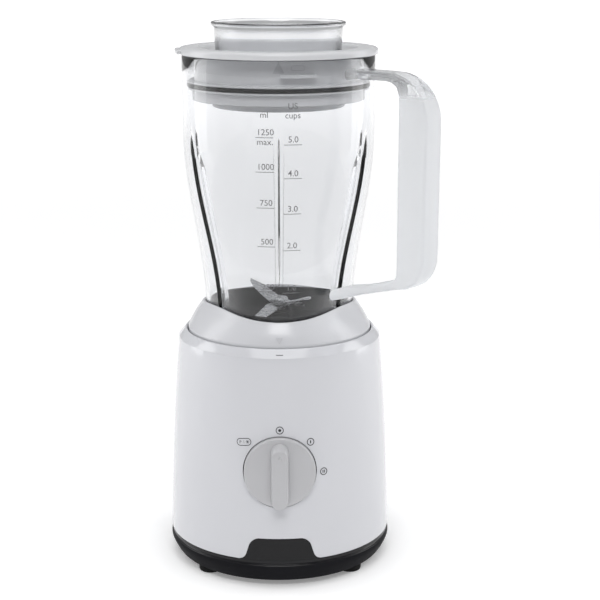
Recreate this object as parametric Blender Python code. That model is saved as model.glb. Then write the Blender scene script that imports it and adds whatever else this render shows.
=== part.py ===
"""Countertop blender: motor base with a rotary control, clear jug with a blade unit, lid and measuring cup.

The +Z axis is the drive axis, pointing up, and the front faces -Y.  The origin is the centre of the
base pan's flat underside; the rubber feet reach FOOT_DROP below it.  Azimuths run from the front (-Y)
towards +X.  Sizes are in millimetres and become metres when a mesh is finished.
"""
import math

import bmesh
import bpy
from mathutils import Matrix, Vector

MM = 0.001          # one millimetre in scene units
GAP = 0.3           # clearance left between pieces that touch on the real thing
BIG_STEPS = 36      # facets around a large turned piece
MOTOR_STEPS = 24    # facets around the motor's larger pieces
SMALL_STEPS = 16    # facets around a small turned piece

# Driving sizes: the rest follow from these
DECK_Z = 144.0              # top face of the deck under the jug
JUG_HEIGHT = 203.5          # from the deck to the jug's rim
JUG_R = 65.0                # outer radius of the jug's straight upper part
CUP_RIM_R = JUG_R - 19.7     # leaves room in the lid's well for fingertips
KNOB_R = 24.0
STATOR_R = 34.0
SHAFT_R = 4.0

# Jug
JUG_NARROWING = 15.3        # how much smaller the mean radius is at the foot
JUG_TRIANGLE = 0.08         # share by which the foot leans to a rounded triangle
JUG_WALL = 3.0
JUG_TOP_Z = DECK_Z + JUG_HEIGHT
JUG_TAPER_Z = JUG_TOP_Z - 47.5      # the jug is round and straight above this height
JUG_FOOT_Z = DECK_Z + 22.0
JUG_WAIST_Z = DECK_Z + 56.0         # lowest of the even steps up the wall
FLUTE_AZIMUTHS = (60, 180, 300)
FLUTE_DEPTH = 5.0
FLUTE_HALF_ANGLE = 3.5
FLUTE_TOP_Z = JUG_TOP_Z - 49.5
FLUTE_RUN_OUT = 22.0                # height over which a flute fades to its point
COLLAR_SPIGOT_R = JUG_R - 1.8
COLLAR_SKIRT = 5.0                  # thickness of the spigot's wall
COLLAR_CREASE_Z = DECK_Z + 17.6
COLLAR_TOP_Z = DECK_Z + 34.9
LEDGE_R = JUG_R - 23.0              # hole through the ledge that holds the blade carrier
CARRIER_BASE_Z = DECK_Z + 14.3
CARRIER_FLOOR_Z = DECK_Z + 17.0
CARRIER_RIM_Z = DECK_Z + 34.3
HANDLE_AZIMUTH = 50.0
HANDLE_REACH = JUG_R + 62.4         # from the drive axis to the grip's outer face
HANDLE_GRIP_DEPTH = 22.6
HANDLE_W = 18.0
HANDLE_TOP_Z = JUG_TOP_Z - 7.1
HANDLE_ARM = 5.6

# Base
MOUTH_R = COLLAR_SPIGOT_R + 0.7
MOUTH_Z = DECK_Z + 16.3             # top edge of the mouth that takes the jug's collar
SHELL_CREASE_Z = DECK_Z + 11.0      # where the side turns into the shoulder band
SHELL_TOP_R = MOUTH_R + 5.9
SHELL_BOTTOM_R = SHELL_TOP_R + 7.2
SHELL_WALL = 2.5
DECK_THICK = 3.0
DECK_HOLE_R = 11.0
BASE_R = SHELL_BOTTOM_R + 0.3       # widest radius, at the pan's crease
PAN_FLOOR_R = BASE_R - 5.2
PAN_CREASE_Z = 9.5
PAN_RIM_Z = 16.2
PAN_WALL = 2.5
PAN_FLOOR = 3.0
PAN_SPIGOT_TOP = 24.0
PAN_VENTS = (-16, -8, 8, 16)        # places of the cooling slots, front to back
TAB_HALF_TOP = 19.5                 # front panel: half width at the top and at the bottom, and its top edge
TAB_HALF_BOTTOM = 24.5
TAB_TOP_Z = 31.8
TAB_THICK = 2.1
FOOT_R = 8.0
FOOT_DROP = 4.0
FOOT_CIRCLE = PAN_FLOOR_R - 9.6
FOOT_AZIMUTHS = (49, 131, 229, 311)
FOOT_SEAT = 2.0
PAN_SCREW_CIRCLE = PAN_FLOOR_R - 6.1
PAN_SCREW_AZIMUTHS = (75, -75, 155, -155)
PAN_SCREW_R = 1.7
PAN_SCREW_HEAD_R = 3.5
PAN_BOSS_R = 5.0
PAN_BOSS_TOP = 42.0
GLAND_Z = 34.0
GLAND_R = 6.0

# Control knob and interlock
KNOB_Z = 78.4
KNOB_TILT = 1.7             # degrees, the slope of the shell's side
KNOB_PROUD = 2.2            # disc face above the shell
KNOB_DEPTH = 7.7
KNOB_BAR_W = 11.5
KNOB_BAR_H = 7.8
KNOB_SHAFT_R = 3.0
SWITCH_HUB_R = 6.6
SWITCH_PLATE_R = KNOB_R + 3.0
SWITCH_HALF = 15.0
SWITCH_DEPTH = SHELL_TOP_R - STATOR_R - 11.8    # from the switch plate's front to the switch's back
INTERLOCK_R = 2.5
INTERLOCK_FLANGE_R = 4.2
INTERLOCK_CIRCLE = COLLAR_SPIGOT_R - 2.7

# Motor, hung under the deck
BRACKET_TOP = DECK_Z - DECK_THICK - 8       # top face of the upper bracket's plate
BRACKET_R = STATOR_R + 6.0
STATOR_H = 36.0
STATOR_Z = DECK_Z - 60.0
STATOR_TOP = STATOR_Z + STATOR_H
STATOR_WALL = 4.0
LOWER_PLATE_Z = STATOR_Z - 28               # underside of the lower bracket's plate
MOUNT_AZIMUTHS = (30, 150, 270)
MOUNT_R = 6.0
BOLT_AZIMUTHS = (45, 225)
BOLT_CIRCLE = BRACKET_R - 3
BOLT_R = 1.8
BEARING_R = 11.0
BEARING_W = 7.0
BORE_R = STATOR_R - 13.4
ARMATURE_R = BORE_R - 0.8
POLE_HALF_ANGLE = 44
COIL_HALF_ANGLE = 62
COMMUTATOR_R = 11.0
BRUSH_Z = STATOR_Z - 13
FAN_R = STATOR_R - 4.0
FAN_Z = LOWER_PLATE_Z - 17

# Blade unit
BOSS_TOP = CARRIER_FLOOR_Z + 9.5
BUSH_R = 6.0
SPINDLE_R = 4.0
SPINDLE_TENON_R = 3.0
BLADE_T = 1.5
UPPER_BLADE_REACH = JUG_R - 29.0
UPPER_BLADE_RISE = 9.0
UPPER_BLADE_ANGLE = -63.0
LOWER_BLADE_REACH = JUG_R - 32.0
LOWER_BLADE_DROP = 6.0
LOWER_BLADE_ANGLE = 51.0
COUPLING_R = 12.0
COUPLING_TEETH = 6

# Lid and cup
LID_R = JUG_R + 1.8
LID_TOP_Z = JUG_TOP_Z + 5.1
LID_WELL_R = JUG_R - 12.2
LID_WELL_Z = JUG_TOP_Z - 9.2
LID_SKIRT_R = JUG_R - 8.5
LID_LUG_AZIMUTHS = (12, 132, 252)
LUG_HALF_ANGLE = 11
LUG_Z = LID_WELL_Z - 2
SEAL_Z = JUG_TOP_Z - 19.3
SEAL_WIRE_R = 1.2
SEAL_R = JUG_R - JUG_WALL - 0.4 - SEAL_WIRE_R
CUP_TOP_Z = LID_TOP_Z + 16.5
CUP_WALL = 1.7
CUP_BOTTOM_R = CUP_RIM_R - 4.7
NECK_TOP_R = CUP_RIM_R - 0.9
NECK_BOTTOM_R = CUP_BOTTOM_R + 2
NECK_BOTTOM_Z = LID_WELL_Z - 25.3

MATERIALS = {
    "white_gloss": ((0.86, 0.87, 0.88), 0.15, 0.0),
    "white_satin": ((0.80, 0.81, 0.82), 0.35, 0.0),
    "black_plastic": ((0.03, 0.03, 0.03), 0.5, 0.0),
    "black_gloss": ((0.015, 0.015, 0.016), 0.08, 0.0),
    "grey_satin": ((0.42, 0.42, 0.43), 0.4, 0.0),
    "clear_plastic": ((0.93, 0.95, 0.96), 0.05, 0.0),
    "frosted_plastic": ((0.78, 0.79, 0.81), 0.4, 0.0),
    "rubber": ((0.02, 0.02, 0.02), 0.8, 0.0),
    "steel": ((0.62, 0.62, 0.63), 0.25, 1.0),
    "laminated_steel": ((0.22, 0.22, 0.24), 0.5, 1.0),
    "copper": ((0.75, 0.36, 0.20), 0.35, 1.0),
    "bronze": ((0.55, 0.42, 0.22), 0.35, 1.0),
    "carbon": ((0.05, 0.05, 0.05), 0.7, 0.0),
}


def clear_scene():
    for obj in list(bpy.data.objects):
        bpy.data.objects.remove(obj, do_unlink=True)


def surface(name):
    """The named material, made the first time it is asked for."""
    if name in bpy.data.materials:
        return bpy.data.materials[name]
    colour, roughness, metallic = MATERIALS[name]
    mat = bpy.data.materials.new(name)
    mat.use_nodes = True
    shader = mat.node_tree.nodes["Principled BSDF"]
    shader.inputs["Base Color"].default_value = (*colour, 1.0)
    shader.inputs["Roughness"].default_value = roughness
    shader.inputs["Metallic"].default_value = metallic
    return mat


def body(name, location=(0, 0, 0)):
    """An empty on a moving body's axis, at a place in millimetres."""
    empty = bpy.data.objects.new(name, None)
    empty.location = Vector(location) * MM
    bpy.context.collection.objects.link(empty)
    return empty


def finish(name, bm, finish_name, parent):
    """Turn a millimetre bmesh in world places into a piece of the given body."""
    bmesh.ops.recalc_face_normals(bm, faces=bm.faces)
    bmesh.ops.scale(bm, vec=(MM, MM, MM), verts=bm.verts)
    bmesh.ops.translate(bm, vec=-parent.location, verts=bm.verts)
    mesh = bpy.data.meshes.new(name)
    bm.to_mesh(mesh)
    bm.free()
    mesh.shade_smooth()
    mesh.set_sharp_from_angle(angle=math.radians(35))
    obj = bpy.data.objects.new(name, mesh)
    obj.parent = parent
    bpy.context.collection.objects.link(obj)
    if finish_name:
        mesh.materials.append(surface(finish_name))
    return obj


def shape_with(obj, operation, tools):
    """Cut tools away from a piece, or join them to it, keeping each tool as a hidden object."""
    for number, bm in enumerate(tools):
        tool = finish(f"{obj.name}.{operation.lower()}.{number}", bm, None, obj.parent)
        tool.hide_render = True
        tool.display_type = "WIRE"
        modifier = obj.modifiers.new(f"{operation.lower()} {number}", "BOOLEAN")
        modifier.operation = operation
        modifier.solver = "EXACT"
        modifier.object = tool


def cut(obj, *tools):
    shape_with(obj, "DIFFERENCE", tools)


def join(obj, *tools):
    shape_with(obj, "UNION", tools)


def turned(outline, steps=BIG_STEPS):
    """Spin an (r, z) outline about Z: a ring if it is clear of the axis, a solid if it ends on it."""
    bm = bmesh.new()
    verts = [bm.verts.new((r, 0, z)) for r, z in outline]
    on_axis = outline[0][0] == 0 and outline[-1][0] == 0
    pairs = list(zip(verts, verts[1:]))
    if not on_axis:
        pairs.append((verts[-1], verts[0]))
    edges = [bm.edges.new(pair) for pair in pairs]
    bmesh.ops.spin(
        bm, geom=verts + edges, cent=(0, 0, 0), axis=(0, 0, 1),
        angle=math.tau, steps=steps, use_merge=True,
    )
    bmesh.ops.remove_doubles(bm, verts=bm.verts, dist=0.0001)
    return bm


def ring(r0, r1, z0, z1, steps=SMALL_STEPS):
    return turned([(r0, z0), (r1, z0), (r1, z1), (r0, z1)], steps)


def rod(r, z0, z1, steps=SMALL_STEPS):
    return turned([(0, z0), (r, z0), (r, z1), (0, z1)], steps)


def extruded(outline, z0, z1):
    """A flat (x, y) outline pushed from z0 to z1."""
    bm = bmesh.new()
    face = bm.faces.new([bm.verts.new((x, y, z0)) for x, y in outline])
    grown = bmesh.ops.extrude_face_region(bm, geom=[face])
    moved = [v for v in grown["geom"] if isinstance(v, bmesh.types.BMVert)]
    bmesh.ops.translate(bm, vec=(0, 0, z1 - z0), verts=moved)
    return bm


def box(x0, x1, y0, y1, z0, z1):
    return extruded([(x0, y0), (x1, y0), (x1, y1), (x0, y1)], z0, z1)


def arc(radius, start, end, steps, centre=(0, 0)):
    """Points on an arc, in degrees from +X."""
    angles = [math.radians(start + (end - start) * i / steps) for i in range(steps + 1)]
    return [(centre[0] + radius * math.cos(a), centre[1] + radius * math.sin(a)) for a in angles]


def sector(r0, r1, z0, z1, start, end, steps=16):
    return extruded(arc(r1, start, end, steps) + arc(r0, end, start, steps), z0, z1)


def lofted(rings, around=True):
    """Skin equal rings of points; the last ring joins the first, or both ends are capped."""
    bm = bmesh.new()
    rows = [[bm.verts.new(p) for p in points] for points in rings]
    pairs = list(zip(rows, rows[1:]))
    if around:
        pairs.append((rows[-1], rows[0]))
    for lower, upper in pairs:
        for i in range(len(lower)):
            j = (i + 1) % len(lower)
            bm.faces.new((lower[i], lower[j], upper[j], upper[i]))
    if not around:
        bm.faces.new(rows[0])
        bm.faces.new(rows[-1])
    return bm


def rounded_corners(corners, steps=4):
    """A closed outline from (x, y, radius) corners, each radius drawn as an arc."""
    points = []
    for i, (x, y, radius) in enumerate(corners):
        here = Vector((x, y))
        before = Vector(corners[i - 1][:2]) - here
        after = Vector(corners[(i + 1) % len(corners)][:2]) - here
        if radius == 0:
            points.append((x, y))
            continue
        half = before.angle(after) / 2
        reach = radius / math.tan(half)
        middle = here + (before.normalized() + after.normalized()).normalized() * radius / math.sin(half)
        first = here + before.normalized() * reach - middle
        turn = first.angle_signed(here + after.normalized() * reach - middle)
        for step in range(steps + 1):
            spoke = Matrix.Rotation(-turn * step / steps, 2) @ first
            points.append(tuple(middle + spoke))
    return points


def moved(bm, matrix):
    bmesh.ops.transform(bm, matrix=matrix, verts=bm.verts)
    return bm


def at_azimuth(azimuth, radius=0.0, z=0.0):
    """The matrix that takes local -Y outwards to the azimuth, at a radius from the drive axis."""
    return Matrix.Rotation(math.radians(azimuth), 4, "Z") @ Matrix.Translation((0, -radius, z))


def shell_radius(z):
    """Outer radius of the housing's gently bowed, tapering side."""
    share = (z - PAN_RIM_Z) / (SHELL_CREASE_Z - PAN_RIM_Z)
    return SHELL_BOTTOM_R - (SHELL_BOTTOM_R - SHELL_TOP_R) * (0.3 * share + 0.7 * share * share)


def knob_frame():
    """From knob space, where +Z points out of the shell and +Y up, to the world."""
    turn = Matrix.Rotation(math.radians(90 - KNOB_TILT), 4, "X")
    return Matrix.Translation((0, -shell_radius(KNOB_Z), KNOB_Z)) @ turn


# Base: housing, pan, front panel, feet and their fasteners

def tab_outline(grow, bottom):
    """Outline of the front panel, or with grow of the notch that it fills, in x and z."""
    low, high = TAB_HALF_BOTTOM + grow, TAB_HALF_TOP + grow
    return rounded_corners([
        (-low, bottom, 0), (low, bottom, 0),
        (high, TAB_TOP_Z + grow, 5), (-high, TAB_TOP_Z + grow, 5),
    ])


def tab_prism(grow, bottom, depth):
    """The panel's outline pushed through the front wall, from the given depth outwards."""
    prism = extruded([(x, z) for x, z in tab_outline(grow, bottom)], depth, BASE_R + 10)
    return moved(prism, Matrix.Rotation(math.radians(90), 4, "X"))


def motor_housing(parent):
    side = [PAN_RIM_Z + GAP, 45, 75, 105, 130, SHELL_CREASE_Z]
    under_deck = DECK_Z - DECK_THICK
    mouth_wall = MOUTH_R + SHELL_WALL
    channel_z = SHELL_CREASE_Z - 1
    outline = [(shell_radius(z), z) for z in side]
    outline += [
        (MOUTH_R + 1.0, MOUTH_Z), (MOUTH_R, MOUTH_Z - 0.4), (MOUTH_R, DECK_Z), (DECK_HOLE_R, DECK_Z),
        (DECK_HOLE_R, under_deck), (mouth_wall, under_deck), (mouth_wall, channel_z),
        (shell_radius(channel_z) - SHELL_WALL, channel_z - 2),
    ]
    outline += [(shell_radius(z) - SHELL_WALL, z) for z in reversed(side[:-1])]
    shell = finish("motor_housing", turned(outline), "white_gloss", parent)

    bosses = []
    pilots = []
    for azimuth in PAN_SCREW_AZIMUTHS:
        spot = at_azimuth(azimuth, PAN_SCREW_CIRCLE)
        rib = box(-2, 2, PAN_SCREW_CIRCLE - SHELL_BOTTOM_R + 1.5, 0, PAN_SPIGOT_TOP + 1, PAN_BOSS_TOP - 1)
        bosses.append(moved(rod(PAN_BOSS_R, PAN_SPIGOT_TOP + GAP, PAN_BOSS_TOP, 12), spot))
        bosses.append(moved(rib, spot))
        pilots.append(moved(rod(PAN_SCREW_R + GAP, PAN_SPIGOT_TOP - 2, PAN_BOSS_TOP - 4, 12), spot))
    join(shell, *bosses)
    knob_hole = moved(rod(KNOB_R + 2 * GAP, -14, 12, BIG_STEPS), knob_frame())
    notch = tab_prism(GAP, PAN_RIM_Z - 2, BASE_R - 12)
    gland_hole = moved(rod(GLAND_R + GAP, -12, 12), gland_frame())
    pin_hole = rod(INTERLOCK_R + GAP, DECK_Z - 10, DECK_Z + 5, 12)
    pin_hole = moved(pin_hole, at_azimuth(180, INTERLOCK_CIRCLE))
    cut(shell, knob_hole, notch, gland_hole, pin_hole, *pilots)


def front_panel(parent):
    """The dark plate in the notch at the foot of the housing's front."""
    bottom = PAN_RIM_Z + GAP
    outer = [(shell_radius(z), z) for z in (bottom, TAB_TOP_Z + 2)]
    inner = [(r - TAB_THICK, z) for r, z in reversed(outer)]
    panel = finish("front_panel", turned(outer + inner), "black_gloss", parent)
    shape_with(panel, "INTERSECT", [tab_prism(0, bottom - 2, BASE_R - 14)])


def base_pan(parent):
    spigot_r = SHELL_BOTTOM_R - SHELL_WALL - GAP
    outline = [
        (0, 0), (PAN_FLOOR_R - 1.1, 0), (PAN_FLOOR_R, 0.6), (BASE_R, PAN_CREASE_Z),
        (BASE_R, PAN_CREASE_Z + 3), (SHELL_BOTTOM_R, PAN_RIM_Z), (spigot_r, PAN_RIM_Z),
        (spigot_r - 0.3, PAN_SPIGOT_TOP), (spigot_r - PAN_WALL, PAN_SPIGOT_TOP),
        (spigot_r - PAN_WALL, PAN_FLOOR), (0, PAN_FLOOR),
    ]
    pan = finish("base_pan", turned(outline), "black_plastic", parent)
    holes = []
    for azimuth in PAN_SCREW_AZIMUTHS:
        spot = at_azimuth(azimuth, PAN_SCREW_CIRCLE)
        holes.append(moved(rod(PAN_SCREW_R + GAP, -2, 8, 8), spot))
        holes.append(moved(rod(PAN_SCREW_HEAD_R + 0.5, -2, 1.8, 10), spot))
    for azimuth in FOOT_AZIMUTHS:
        holes.append(moved(rod(FOOT_R + GAP, -2, FOOT_SEAT, 14), at_azimuth(azimuth, FOOT_CIRCLE)))
    vents = [box(-14, 14, y - 1.5, y + 1.5, -2, PAN_FLOOR + 2) for y in PAN_VENTS]
    cut(pan, *holes, *vents)


def pan_screws(parent):
    """Self-tapping screws up through the pan into the housing's bosses."""
    outline = [
        (0, 0.3), (PAN_SCREW_HEAD_R, 0.3), (PAN_SCREW_HEAD_R, 1.5),
        (PAN_SCREW_R, 1.5), (PAN_SCREW_R, 30), (0, 32),
    ]
    for number, azimuth in enumerate(PAN_SCREW_AZIMUTHS, 1):
        screw = moved(turned(outline, 10), at_azimuth(azimuth, PAN_SCREW_CIRCLE))
        finish(f"pan_screw_{number}", screw, "steel", parent)


def feet(parent):
    names = ("foot_front_right", "foot_rear_right", "foot_rear_left", "foot_front_left")
    outline = [
        (0, -FOOT_DROP), (FOOT_R - 1, -FOOT_DROP), (FOOT_R, 1 - FOOT_DROP),
        (FOOT_R, FOOT_SEAT - GAP), (0, FOOT_SEAT - GAP),
    ]
    for name, azimuth in zip(names, FOOT_AZIMUTHS):
        finish(name, moved(turned(outline, 14), at_azimuth(azimuth, FOOT_CIRCLE)), "rubber", parent)


def gland_frame():
    """From gland space, where +Z points out of the back, to the world."""
    turn = Matrix.Rotation(math.radians(-90), 4, "X")
    return Matrix.Translation((0, shell_radius(GLAND_Z), GLAND_Z)) @ turn


def cable_gland(parent):
    """The bush that the supply cord would pass through, with a nut-like flange inside."""
    outline = [
        (3.6, -7), (GLAND_R, -7), (GLAND_R, GAP), (8.5, GAP), (8.5, 1.8), (5.4, 3.4), (3.6, 3.4),
    ]
    finish("cable_gland", moved(turned(outline, SMALL_STEPS), gland_frame()), "rubber", parent)


def deck_seal(parent):
    """Lip seal that keeps spills away from the motor."""
    under = DECK_Z - DECK_THICK
    outline = [
        (SHAFT_R + 0.5, under + 0.4), (DECK_HOLE_R - GAP, under + 0.3), (DECK_HOLE_R - GAP, DECK_Z - 0.3),
        (SHAFT_R + 2, DECK_Z - 0.6), (SHAFT_R + 0.5, DECK_Z - 1),
    ]
    finish("deck_seal", turned(outline, SMALL_STEPS), "rubber", parent)


# Motor: hung under the deck on rubber mounts

def motor_mounts(parent):
    low, high = BRACKET_TOP + GAP, DECK_Z - DECK_THICK - GAP
    outline = [(0, low), (MOUNT_R, low), (MOUNT_R - 1.4, (low + high) / 2), (MOUNT_R, high), (0, high)]
    for number, azimuth in enumerate(MOUNT_AZIMUTHS, 1):
        mount = moved(turned(outline, 12), at_azimuth(azimuth, STATOR_R - 2))
        finish(f"motor_mount_{number}", mount, "rubber", parent)


def bolt_holes(low, high):
    return [moved(rod(BOLT_R + 0.4, low, high, 12), at_azimuth(a, BOLT_CIRCLE)) for a in BOLT_AZIMUTHS]


def upper_bracket(parent):
    """Plate with the upper bearing's housing and a skirt that stands on the laminations."""
    under = BRACKET_TOP - 3.2
    outline = [
        (SHAFT_R + 2, BRACKET_TOP), (BRACKET_R, BRACKET_TOP), (BRACKET_R, under), (STATOR_R, under),
        (STATOR_R, STATOR_TOP + GAP), (STATOR_R - STATOR_WALL, STATOR_TOP + GAP),
        (STATOR_R - STATOR_WALL, under), (BEARING_R + 3, under),
        (BEARING_R + 3, BRACKET_TOP - 9), (BEARING_R + GAP, BRACKET_TOP - 9),
        (BEARING_R + GAP, BRACKET_TOP - 2), (SHAFT_R + 2, BRACKET_TOP - 2),
    ]
    plate = finish("upper_bracket", turned(outline, MOTOR_STEPS), "laminated_steel", parent)
    windows = [
        sector(BEARING_R + 6, STATOR_R - 7, under - 3, BRACKET_TOP + 3, start, start + 52, 6)
        for start in (-26, 94, 214)
    ]
    cut(plate, *windows, *bolt_holes(under - 3, BRACKET_TOP + 3))


def lower_bracket(parent):
    """Cup that holds the lower bearing and the brush holders, bolted up through the upper bracket."""
    top = STATOR_Z - GAP
    outline = [
        (SHAFT_R + 2, LOWER_PLATE_Z), (BRACKET_R, LOWER_PLATE_Z), (BRACKET_R, LOWER_PLATE_Z + 3),
        (STATOR_R, LOWER_PLATE_Z + 3), (STATOR_R, top), (STATOR_R - STATOR_WALL, top),
        (STATOR_R - STATOR_WALL, LOWER_PLATE_Z + 3), (BEARING_R + 3, LOWER_PLATE_Z + 3),
        (BEARING_R + 3, LOWER_PLATE_Z + 9), (BEARING_R + GAP, LOWER_PLATE_Z + 9),
        (BEARING_R + GAP, LOWER_PLATE_Z + 2), (SHAFT_R + 2, LOWER_PLATE_Z + 2),
    ]
    cup = finish("lower_bracket", turned(outline, MOTOR_STEPS), "laminated_steel", parent)
    windows = [
        moved(box(STATOR_R - 8, STATOR_R + 8, -8, 8, BRUSH_Z - 8, BRUSH_Z + 8), at_azimuth(turn))
        for turn in (0, 90, 180, 270)
    ]
    cut(cup, *windows, *bolt_holes(LOWER_PLATE_Z - 3, LOWER_PLATE_Z + 6))


def motor_bolts(parent):
    outline = [
        (0, LOWER_PLATE_Z - 3.3), (3.4, LOWER_PLATE_Z - 3.3), (3.4, LOWER_PLATE_Z - GAP),
        (BOLT_R, LOWER_PLATE_Z - GAP), (BOLT_R, BRACKET_TOP + 2.5), (0, BRACKET_TOP + 2.5),
    ]
    for number, azimuth in enumerate(BOLT_AZIMUTHS, 1):
        bolt = moved(turned(outline, 10), at_azimuth(azimuth, BOLT_CIRCLE))
        finish(f"motor_bolt_{number}", bolt, "steel", parent)


def bearings(parent):
    inner = SHAFT_R + GAP
    outer = BEARING_R
    upper_z = BRACKET_TOP - 2 - GAP
    lower_z = LOWER_PLATE_Z + 2 + GAP
    finish("upper_bearing", ring(inner, outer, upper_z - BEARING_W, upper_z), "steel", parent)
    finish("lower_bearing", ring(inner, outer, lower_z, lower_z + BEARING_W), "steel", parent)


def stator_core(parent):
    yoke = ring(STATOR_R - 5, STATOR_R, STATOR_Z, STATOR_TOP, MOTOR_STEPS)
    core = finish("stator_core", yoke, "laminated_steel", parent)
    poles = [
        sector(BORE_R, STATOR_R - 4, STATOR_Z, STATOR_TOP, side - POLE_HALF_ANGLE, side + POLE_HALF_ANGLE)
        for side in (0, 180)
    ]
    join(core, *poles)


def field_coils(parent):
    """A winding around each pole: a curved frame that clears the pole on all sides."""
    outer_r = STATOR_R - 5 - 2 * GAP
    window = POLE_HALF_ANGLE + 1.5
    for name, side in (("field_coil_right", 0), ("field_coil_left", 180)):
        frame = sector(BORE_R + 0.8, outer_r, STATOR_Z - 6, STATOR_TOP + 6,
                       side - COIL_HALF_ANGLE, side + COIL_HALF_ANGLE, 18)
        opening = sector(BORE_R - 3, STATOR_R + 3, STATOR_Z - 1, STATOR_TOP + 1, side - window, side + window)
        cut(finish(name, frame, "copper", parent), opening)


def brush_gear(parent):
    """Carbon brushes that press on the commutator from both sides, in their holders."""
    for name, side in (("right", 1), ("left", -1)):
        near, far = COMMUTATOR_R + 5, STATOR_R - 1
        tube = sorted((side * near, side * far))
        hollow = sorted((side * (near - 2), side * (far + 2)))
        carbon = sorted((side * (COMMUTATOR_R + GAP), side * (far - 6)))
        holder = box(*tube, -5.5, 5.5, BRUSH_Z - 6, BRUSH_Z + 6)
        holder = finish(f"brush_holder_{name}", holder, "bronze", parent)
        cut(holder, box(*hollow, -3.5, 3.5, BRUSH_Z - 4.5, BRUSH_Z + 4.5))
        brush = box(*carbon, -3.2, 3.2, BRUSH_Z - 4.2, BRUSH_Z + 4.2)
        finish(f"carbon_brush_{name}", brush, "carbon", parent)


def star(teeth, root, tip, root_share, tip_share):
    """Outline of a wheel with trapezoid teeth; the shares are of one tooth's pitch."""
    points = []
    pitch = 360 / teeth
    for tooth in range(teeth):
        centre = tooth * pitch
        for radius, angle in (
            (root, -root_share * pitch / 2), (tip, -tip_share * pitch / 2),
            (tip, tip_share * pitch / 2), (root, root_share * pitch / 2),
        ):
            points += arc(radius, centre + angle, centre + angle, 1)[:1]
    return points


def rotor(parent):
    """Everything that turns with the motor's shaft, up to the driving half of the coupling."""
    bore = SHAFT_R + GAP
    finish("motor_shaft", rod(SHAFT_R, LOWER_PLATE_Z - 20, DECK_Z + 6), "steel", parent)

    slots = star(12, ARMATURE_R - 7, ARMATURE_R, 0.5, 0.8)
    core = finish("armature_core", extruded(slots, STATOR_Z + 1, STATOR_TOP - 1), "laminated_steel", parent)
    cut(core, rod(bore, STATOR_Z - 2, STATOR_TOP + 2))
    upper_end = ring(bore + 2, ARMATURE_R - 2.8, STATOR_TOP - 0.7, STATOR_TOP + 3)
    lower_end = ring(bore + 2, ARMATURE_R - 2.8, STATOR_Z - 4, STATOR_Z + 0.7)
    finish("armature_winding_upper", upper_end, "copper", parent)
    finish("armature_winding_lower", lower_end, "copper", parent)
    finish("commutator", ring(bore, COMMUTATOR_R, BRUSH_Z - 5, BRUSH_Z + 7), "copper", parent)

    disc = ring(bore, FAN_R, FAN_Z + 10, FAN_Z + 11.5, MOTOR_STEPS)
    fan = finish("cooling_fan", disc, "black_plastic", parent)
    join(fan, extruded(star(8, 10, FAN_R - 0.5, 0.3, 0.06), FAN_Z, FAN_Z + 11))
    cut(fan, rod(bore, FAN_Z - 2, FAN_Z + 14))

    wheel = star(COUPLING_TEETH, COUPLING_R - 4, COUPLING_R, 0.62, 0.42)
    drive = finish("drive_coupling", extruded(wheel, DECK_Z + 1, DECK_Z + 9), "black_plastic", parent)
    cut(drive, rod(bore, DECK_Z - 2, DECK_Z + 6.5))


# Control and interlock

def switch_plate_depth():
    """How far behind the shell's face the switch plate's front lies, so that its rim clears the wall."""
    radius = shell_radius(KNOB_Z)
    return radius - math.sqrt((radius - SHELL_WALL) ** 2 - SWITCH_PLATE_R ** 2) + 1.3


def switch_gear(parent):
    """The plate behind the knob and the rotary switch that is screwed to it by a steel frame."""
    front = -switch_plate_depth()
    plate = ring(SWITCH_HUB_R, SWITCH_PLATE_R, front - 1.7, front, MOTOR_STEPS)
    finish("switch_plate", moved(plate, knob_frame()), "black_plastic", parent)
    radius = shell_radius(KNOB_Z)
    reach = math.sqrt((radius - SHELL_WALL) ** 2 - (radius + front - 2) ** 2) - 1.3
    ears = moved(box(-reach, reach, -9, 9, front - 3.5, front - 2), knob_frame())
    ears = finish("switch_frame", ears, "steel", parent)
    cut(ears, moved(rod(SWITCH_HUB_R, front - 5, front), knob_frame()))
    case = box(-SWITCH_HALF, SWITCH_HALF, -SWITCH_HALF, SWITCH_HALF, front - SWITCH_DEPTH, front - 3.8)
    case = finish("rotary_switch", moved(case, knob_frame()), "black_plastic", parent)
    cut(case, moved(rod(KNOB_SHAFT_R + GAP, front - SWITCH_DEPTH + 2, front), knob_frame()))


def control_knob(parent):
    """Disc with a raised grip bar, on its shaft."""
    back, hub_end = KNOB_PROUD - KNOB_DEPTH, -12
    disc = [
        (0, KNOB_PROUD), (KNOB_R - 0.8, KNOB_PROUD), (KNOB_R, KNOB_PROUD - 0.8), (KNOB_R, back),
        (KNOB_R - 2, back), (KNOB_R - 2, KNOB_PROUD - 2.2), (6, KNOB_PROUD - 2.2),
        (6, hub_end), (KNOB_SHAFT_R + GAP, hub_end), (KNOB_SHAFT_R + GAP, -3.5), (0, -3.5),
    ]
    knob = finish("control_knob", moved(turned(disc), knob_frame()), "grey_satin", parent)
    top = KNOB_PROUD + KNOB_BAR_H
    side_view = rounded_corners([
        (-KNOB_R + 1.4, KNOB_PROUD - 1, 0), (KNOB_R - 1.8, KNOB_PROUD - 1, 0), (KNOB_R - 2.4, KNOB_PROUD + 0.6, 0),
        (KNOB_R - 8, top, 2.5), (-KNOB_R + 1.4, top, 1.5),
    ])
    bar = extruded(side_view, -KNOB_BAR_W / 2, KNOB_BAR_W / 2)
    upright = Matrix(((0, 0, 1, 0), (1, 0, 0, 0), (0, 1, 0, 0), (0, 0, 0, 1)))
    join(knob, moved(bar, knob_frame() @ upright))
    shaft = rod(KNOB_SHAFT_R, 3 - switch_plate_depth() - SWITCH_DEPTH, -3.5 - GAP, 12)
    finish("knob_shaft", moved(shaft, knob_frame()), "steel", parent)


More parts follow.
